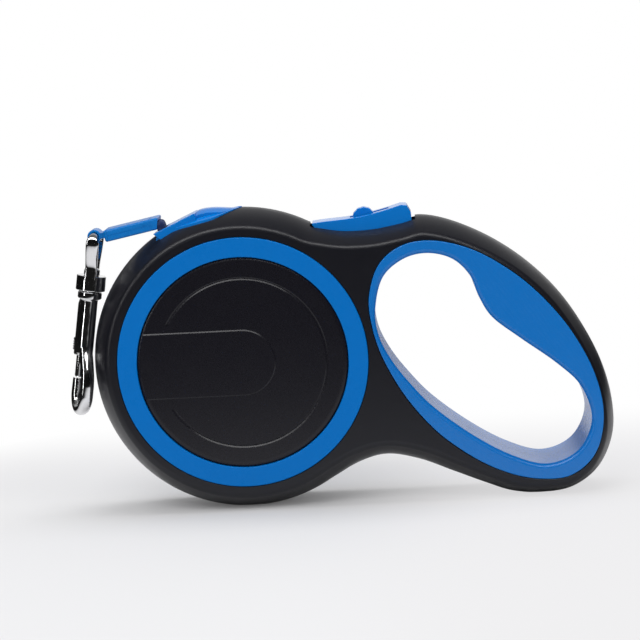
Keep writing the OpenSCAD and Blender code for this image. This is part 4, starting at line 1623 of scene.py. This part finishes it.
    def body(self) -> bpy.types.Object:
        """Builds the hook: collar, barrel, the tube of its bolt, and the wire round to its nose.

        Returns:
            The hook.
        """
        top, end, r, barrel = self.boss[1] + 0.3, self.collar_end, self.collar_r, self.barrel_r
        start, stop = self.bore_top, self.barrel_end
        profile = [(r - 0.7, top), (r - 0.2, top + 0.25), (r, top + 0.7), (r, end - 1.1),
                   (r - 0.3, end - 0.7), (r - 0.9, end - 0.45)]
        profile += [(barrel + 0.25, end - 0.3), (barrel, end + 0.2), (barrel, end + 6), (barrel, end + 14),
                    (barrel, stop - 0.8), (barrel - 0.3, stop - 0.25), (barrel - 0.9, stop)]
        piece = self.upright("hook_casting", profile, 0, 72)
        tube = [(0.6, start - 5.4), (1.5, start - 4.6), (2.2, start - 3.2), (2.6, start - 1.6),
                (2.6, stop + 0.4), (2.35, stop + 0.9), (2.0, stop + 1)]
        combine(piece, self.upright("bolt_tube", tube, self.bolt_u, 56), Cut.JOIN)
        web = [(1.2, start - 4), (2.7, start - 1), (2.7, stop + 0.2), (2.4, stop + 0.6)]
        for u in (-1.6, -3.2):
            combine(piece, self.upright("web", web, u, 48), Cut.JOIN)
        combine(piece, self.sweep("wire", self.wire_path()), Cut.JOIN)
        # bores for the rivet, the bolt and its tip, and the slot of the thumb piece
        self.bore(piece, 1.92, top - 4, end + 5)
        self.bore(piece, self.bolt_r + 0.05, start, stop + 3, self.bolt_u)
        slot = block("thumb_slot", (self.bolt_u - 6, -0.9, -stop - 3), (self.bolt_u, 0.9, -stop + 12.4))
        combine(piece, slot)
        self.bore(piece, self.bolt_r + 0.3, self.bolt[1] - 2, self.bolt[1] + 0.3, self.bolt_u)
        round_edges(piece, 0.12, 2, 48)
        shade(piece, 40)
        settle(piece, self.place(self.turn))
        return piece

    def latch(self) -> bpy.types.Object:
        """Builds the sliding bolt with its thumb piece.

        Returns:
            The bolt.
        """
        u, r, (top, tip) = self.bolt_u, self.bolt_r, self.bolt
        profile = [(r, top), (r, tip - 0.5), (r - 0.25, tip - 0.12), (r - 0.6, tip)]
        piece = self.upright("hook_latch", profile, u, 40)
        combine(piece, block("arm", (u - 4.2, -0.8, -44.2), (u - 0.2, 0.8, -41.6)), Cut.JOIN)
        # the thumb piece, with four grooves round it
        grip = [(0.9, 40.0), (1.3, 40.15), (1.5, 40.5)]
        for k in range(4):
            w = 41.0 + 0.9 * k
            grip += [(1.5, w), (1.32, w + 0.2), (1.32, w + 0.35), (1.5, w + 0.55)]
        grip += [(1.5, 44.5), (1.3, 44.85), (0.9, 45.0)]
        combine(piece, self.upright("thumb", grip, u - 5.2, 32), Cut.JOIN)
        shade(piece, 35)
        settle(piece, self.place(self.turn))
        return piece

    def build(self, palette: Palette) -> None:
        """Builds the hook and hands its pieces over.

        Args:
            palette: The finishes.
        """
        hand_over(self.eye(), palette.chrome, "eye", "hook_chrome", "swivel_eye")
        hand_over(self.rivet(), palette.chrome, "hook", "hook_chrome", "swivel_rivet")
        hand_over(self.body(), palette.chrome, "hook", "hook_chrome", "hook_body")
        hand_over(self.latch(), palette.chrome, "bolt", "hook_chrome", "hook_bolt")


# ---------------------------------------------------------------- inside


def dress_inside(nodes: dict[str, bpy.types.Object], palette: Palette, hook: SnapHook) -> None:
    """Gives the nodes that stay their finishes and gives two springs meshes of their own.

    Args:
        nodes: The frame's node objects by name.
        palette: The finishes.
        hook: The hook that the bolt's spring sits in.
    """
    finishes = {
        palette.steel: ("guide_pin", "axle_post", "axle_screws", "thrust_washers", "casing_screws",
                        "button_pin", "pawl_pin"),
        palette.spring: ("pawl_spring", "power_spring", "bolt_spring"),
        palette.reel: ("reel_drum", "rear_flange"),
        palette.pawl: ("brake_pawl",),
        palette.tape: ("tape_coil", "tape_run"),
    }
    for finish, names in finishes.items():
        for name in names:
            mesh = nodes[name].data
            if not mesh.materials:
                mesh.materials.append(finish)
            for slot in nodes[name].material_slots:
                slot.material = finish
            LOG.info("%s: dressed", name)
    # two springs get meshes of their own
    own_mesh(nodes["pawl_spring"])
    place = hook.place(hook.turn)
    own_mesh(nodes["bolt_spring"])


# ---------------------------------------------------------------- studio


@dataclass
class Studio:
    """Pale floor, plain background, soft lamps and the camera."""

    eye: Vector = field(default_factory=lambda: Vector((0.0532, -0.9077, 0.1780)))
    yaw: float = -1.53
    tilt: float = 6.90
    roll: float = 3.0
    lens: float = 136.9

    def camera(self) -> None:
        """Places the camera."""
        deselect_all()
        bpy.ops.object.camera_add()
        camera = bpy.context.object
        camera.name = "view"
        a, e, k = (math.radians(v) for v in (self.yaw, self.tilt, self.roll))
        forward = Vector((math.sin(a) * math.cos(e), math.cos(a) * math.cos(e), -math.sin(e)))
        right = Vector((math.cos(a), -math.sin(a), 0))
        up = right.cross(forward)
        right, up = right * math.cos(k) - up * math.sin(k), right * math.sin(k) + up * math.cos(k)
        turn = Matrix((right, up, -forward)).transposed().to_4x4()
        camera.matrix_world = Matrix.Translation(self.eye) @ turn
        camera.data.lens, camera.data.sensor_width = self.lens, 36
        camera.data.clip_start, camera.data.clip_end = 0.02, 30
        bpy.context.scene.camera = camera

    def floor(self) -> None:
        """Lays the floor, white to the camera but for the shadows on it, which a painted glow partly
        lightens.
        """
        deselect_all()
        bpy.ops.mesh.primitive_grid_add(x_subdivisions=40, y_subdivisions=40, size=8, location=(0, 1.0, 0))
        floor = named("studio_floor")
        bpy.ops.object.transform_apply(location=True, rotation=True, scale=True)
        with edit_mode(floor):
            bpy.ops.mesh.select_all(action="SELECT")
            bpy.ops.transform.translate(value=(0, 0, -0.00002))
        g = Graph(bpy.data.materials.new("studio_floor_paint"))
        speck = g.noise(3, 2, 0.5)
        paint = g.node("ShaderNodeBsdfDiffuse", None, {
            "Color": g.mix(speck, (0.68, 0.68, 0.69), (0.71, 0.71, 0.72))})
        dark = g.node("ShaderNodeEmission", None, {"Color": (1, 1, 1, 1), "Strength": 0.01})
        path = g.node("ShaderNodeLightPath").outputs
        camera, glossy = Value(g, path["Is Camera Ray"]), Value(g, path["Is Glossy Ray"])
        x, y, _ = g.split(g.place())
        # behind and left of the leash the floor is plain white; elsewhere shadows show, but a glow mixed in
        # for the camera paints light over them, a little under the reel and most under the grip
        away = (y.step(0.04, 0.2) + (0 - x).step(0.08, 0.25)).held()
        shadow_fill = 0.1 + x.step(0.015, 0.1) * 0.65
        glow = g.node("ShaderNodeEmission", None, {
            "Color": g.mix(away, (0.87, 0.865, 0.875), (1.0, 1.0, 1.0)), "Strength": 1.0})
        # in reflections only the floor close by and the strip behind the grip are bright
        off = ((x - 0.03) * (x - 0.03) + y * y) ** 0.5
        unlit = off.step(0.11, 0.34) * (1 - (x - 0.12).size().step(0.3, 0.16) * y.step(0.0, 0.2))
        seen = g.node("ShaderNodeMixShader", None, {
            0: camera * (shadow_fill + away - shadow_fill * away), 1: paint.outputs[0], 2: glow.outputs[0]})
        mirrored = g.node("ShaderNodeMixShader", None, {
            0: glossy * unlit, 1: seen.outputs[0], 2: dark.outputs[0]})
        g.node("ShaderNodeOutputMaterial", None, {"Surface": mirrored.outputs[0]})
        floor.data.materials.append(g.owner)

    def world(self) -> None:
        """Sets the surroundings: white to the camera; in reflections bright behind and dark in front."""
        g = Graph(bpy.data.worlds.new("studio_world"))
        bpy.context.scene.world = g.owner
        x, y, z = g.split(g.node("ShaderNodeTexCoord").outputs["Generated"])
        path = g.node("ShaderNodeLightPath").outputs
        camera, glossy = Value(g, path["Is Camera Ray"]), Value(g, path["Is Glossy Ray"])
        straight = (x - 0.1).size().step(0.4, 0.15) * (1 - z.step(0.12, 0.4))
        behind = y.step(0.3, 0.8) * (z.step(0.05, 0.35) * 0.4 + straight * 0.9)
        above = z.step(0.5, 0.95)
        mirror = 0.005 + behind + above * 0.15
        strength = camera + (1 - camera) * (glossy * mirror + (1 - glossy) * 0.56)
        shine = g.node("ShaderNodeBackground", None, {"Color": (1, 1, 1, 1), "Strength": strength})
        g.node("ShaderNodeOutputWorld", None, {"Surface": shine.outputs[0]})

    def lamp(self, name: str, at: Sequence[float], target: Sequence[float], size: Flat, power: float,
             diffuse: bool = True, glossy: bool = True) -> None:
        """Adds a soft lamp.

        Args:
            name: Its name.
            at: Where it hangs, in metres.
            target: What it points at.
            size: Its width and height in metres.
            power: Its power in watts.
            diffuse: Whether it lights dull surfaces.
            glossy: Whether it shows in reflections.
        """
        deselect_all()
        bpy.ops.object.light_add(type="AREA", location=at)
        lamp = bpy.context.object
        lamp.name = name
        lamp.rotation_euler = (Vector(target) - Vector(at)).to_track_quat("-Z", "Y").to_euler()
        lamp.data.shape = "RECTANGLE"
        lamp.data.size, lamp.data.size_y = size
        lamp.data.energy = power
        lamp.visible_diffuse, lamp.visible_glossy = diffuse, glossy
        lamp.visible_camera = False

    def lamps(self) -> None:
        """Hangs the lamps."""
        centre = (0.035, 0.0, 0.06)
        self.lamp("key", (-0.5, -1.2, 1.3), centre, (1.0, 1.0), 12, glossy=False)
        self.lamp("fill", (1.2, -1.1, 0.7), centre, (1.0, 1.0), 4.5, glossy=False)
        self.lamp("overhead", (0.0, 0.15, 1.5), centre, (1.4, 0.7), 11, glossy=False)
        self.lamp("top_strip", (-0.1, -0.75, 1.2), centre, (1.8, 0.32), 11, diffuse=False)
        self.lamp("edge_strip", (-0.9, -0.75, 0.45), centre, (0.12, 1.0), 2.2, diffuse=False)

    def build(self) -> None:
        """Builds the studio."""
        self.camera()
        self.floor()
        self.world()
        self.lamps()
        bpy.context.scene.view_settings.view_transform = "Standard"


def main() -> None:
    """Builds the leash on its frame."""
    logging.basicConfig(level=logging.INFO, format="%(name)s %(message)s")
    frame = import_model()
    studio = Studio()
    studio.build()
    palette = Palette()
    form = CasingForm()
    nozzle = TapeNozzle(form)
    for side in Side:
        CasingHalf(form, side).build(palette, nozzle.seat)
    nozzle.build(palette)
    BrakeButton().build(palette)
    end = TapeEnd()
    end.build(palette)
    hook = SnapHook(end.loop_at)
    hook.build(palette)
    dress_inside(frame["nodes"], palette, hook)
    deselect_all()


if __name__ == "__main__":
    main()
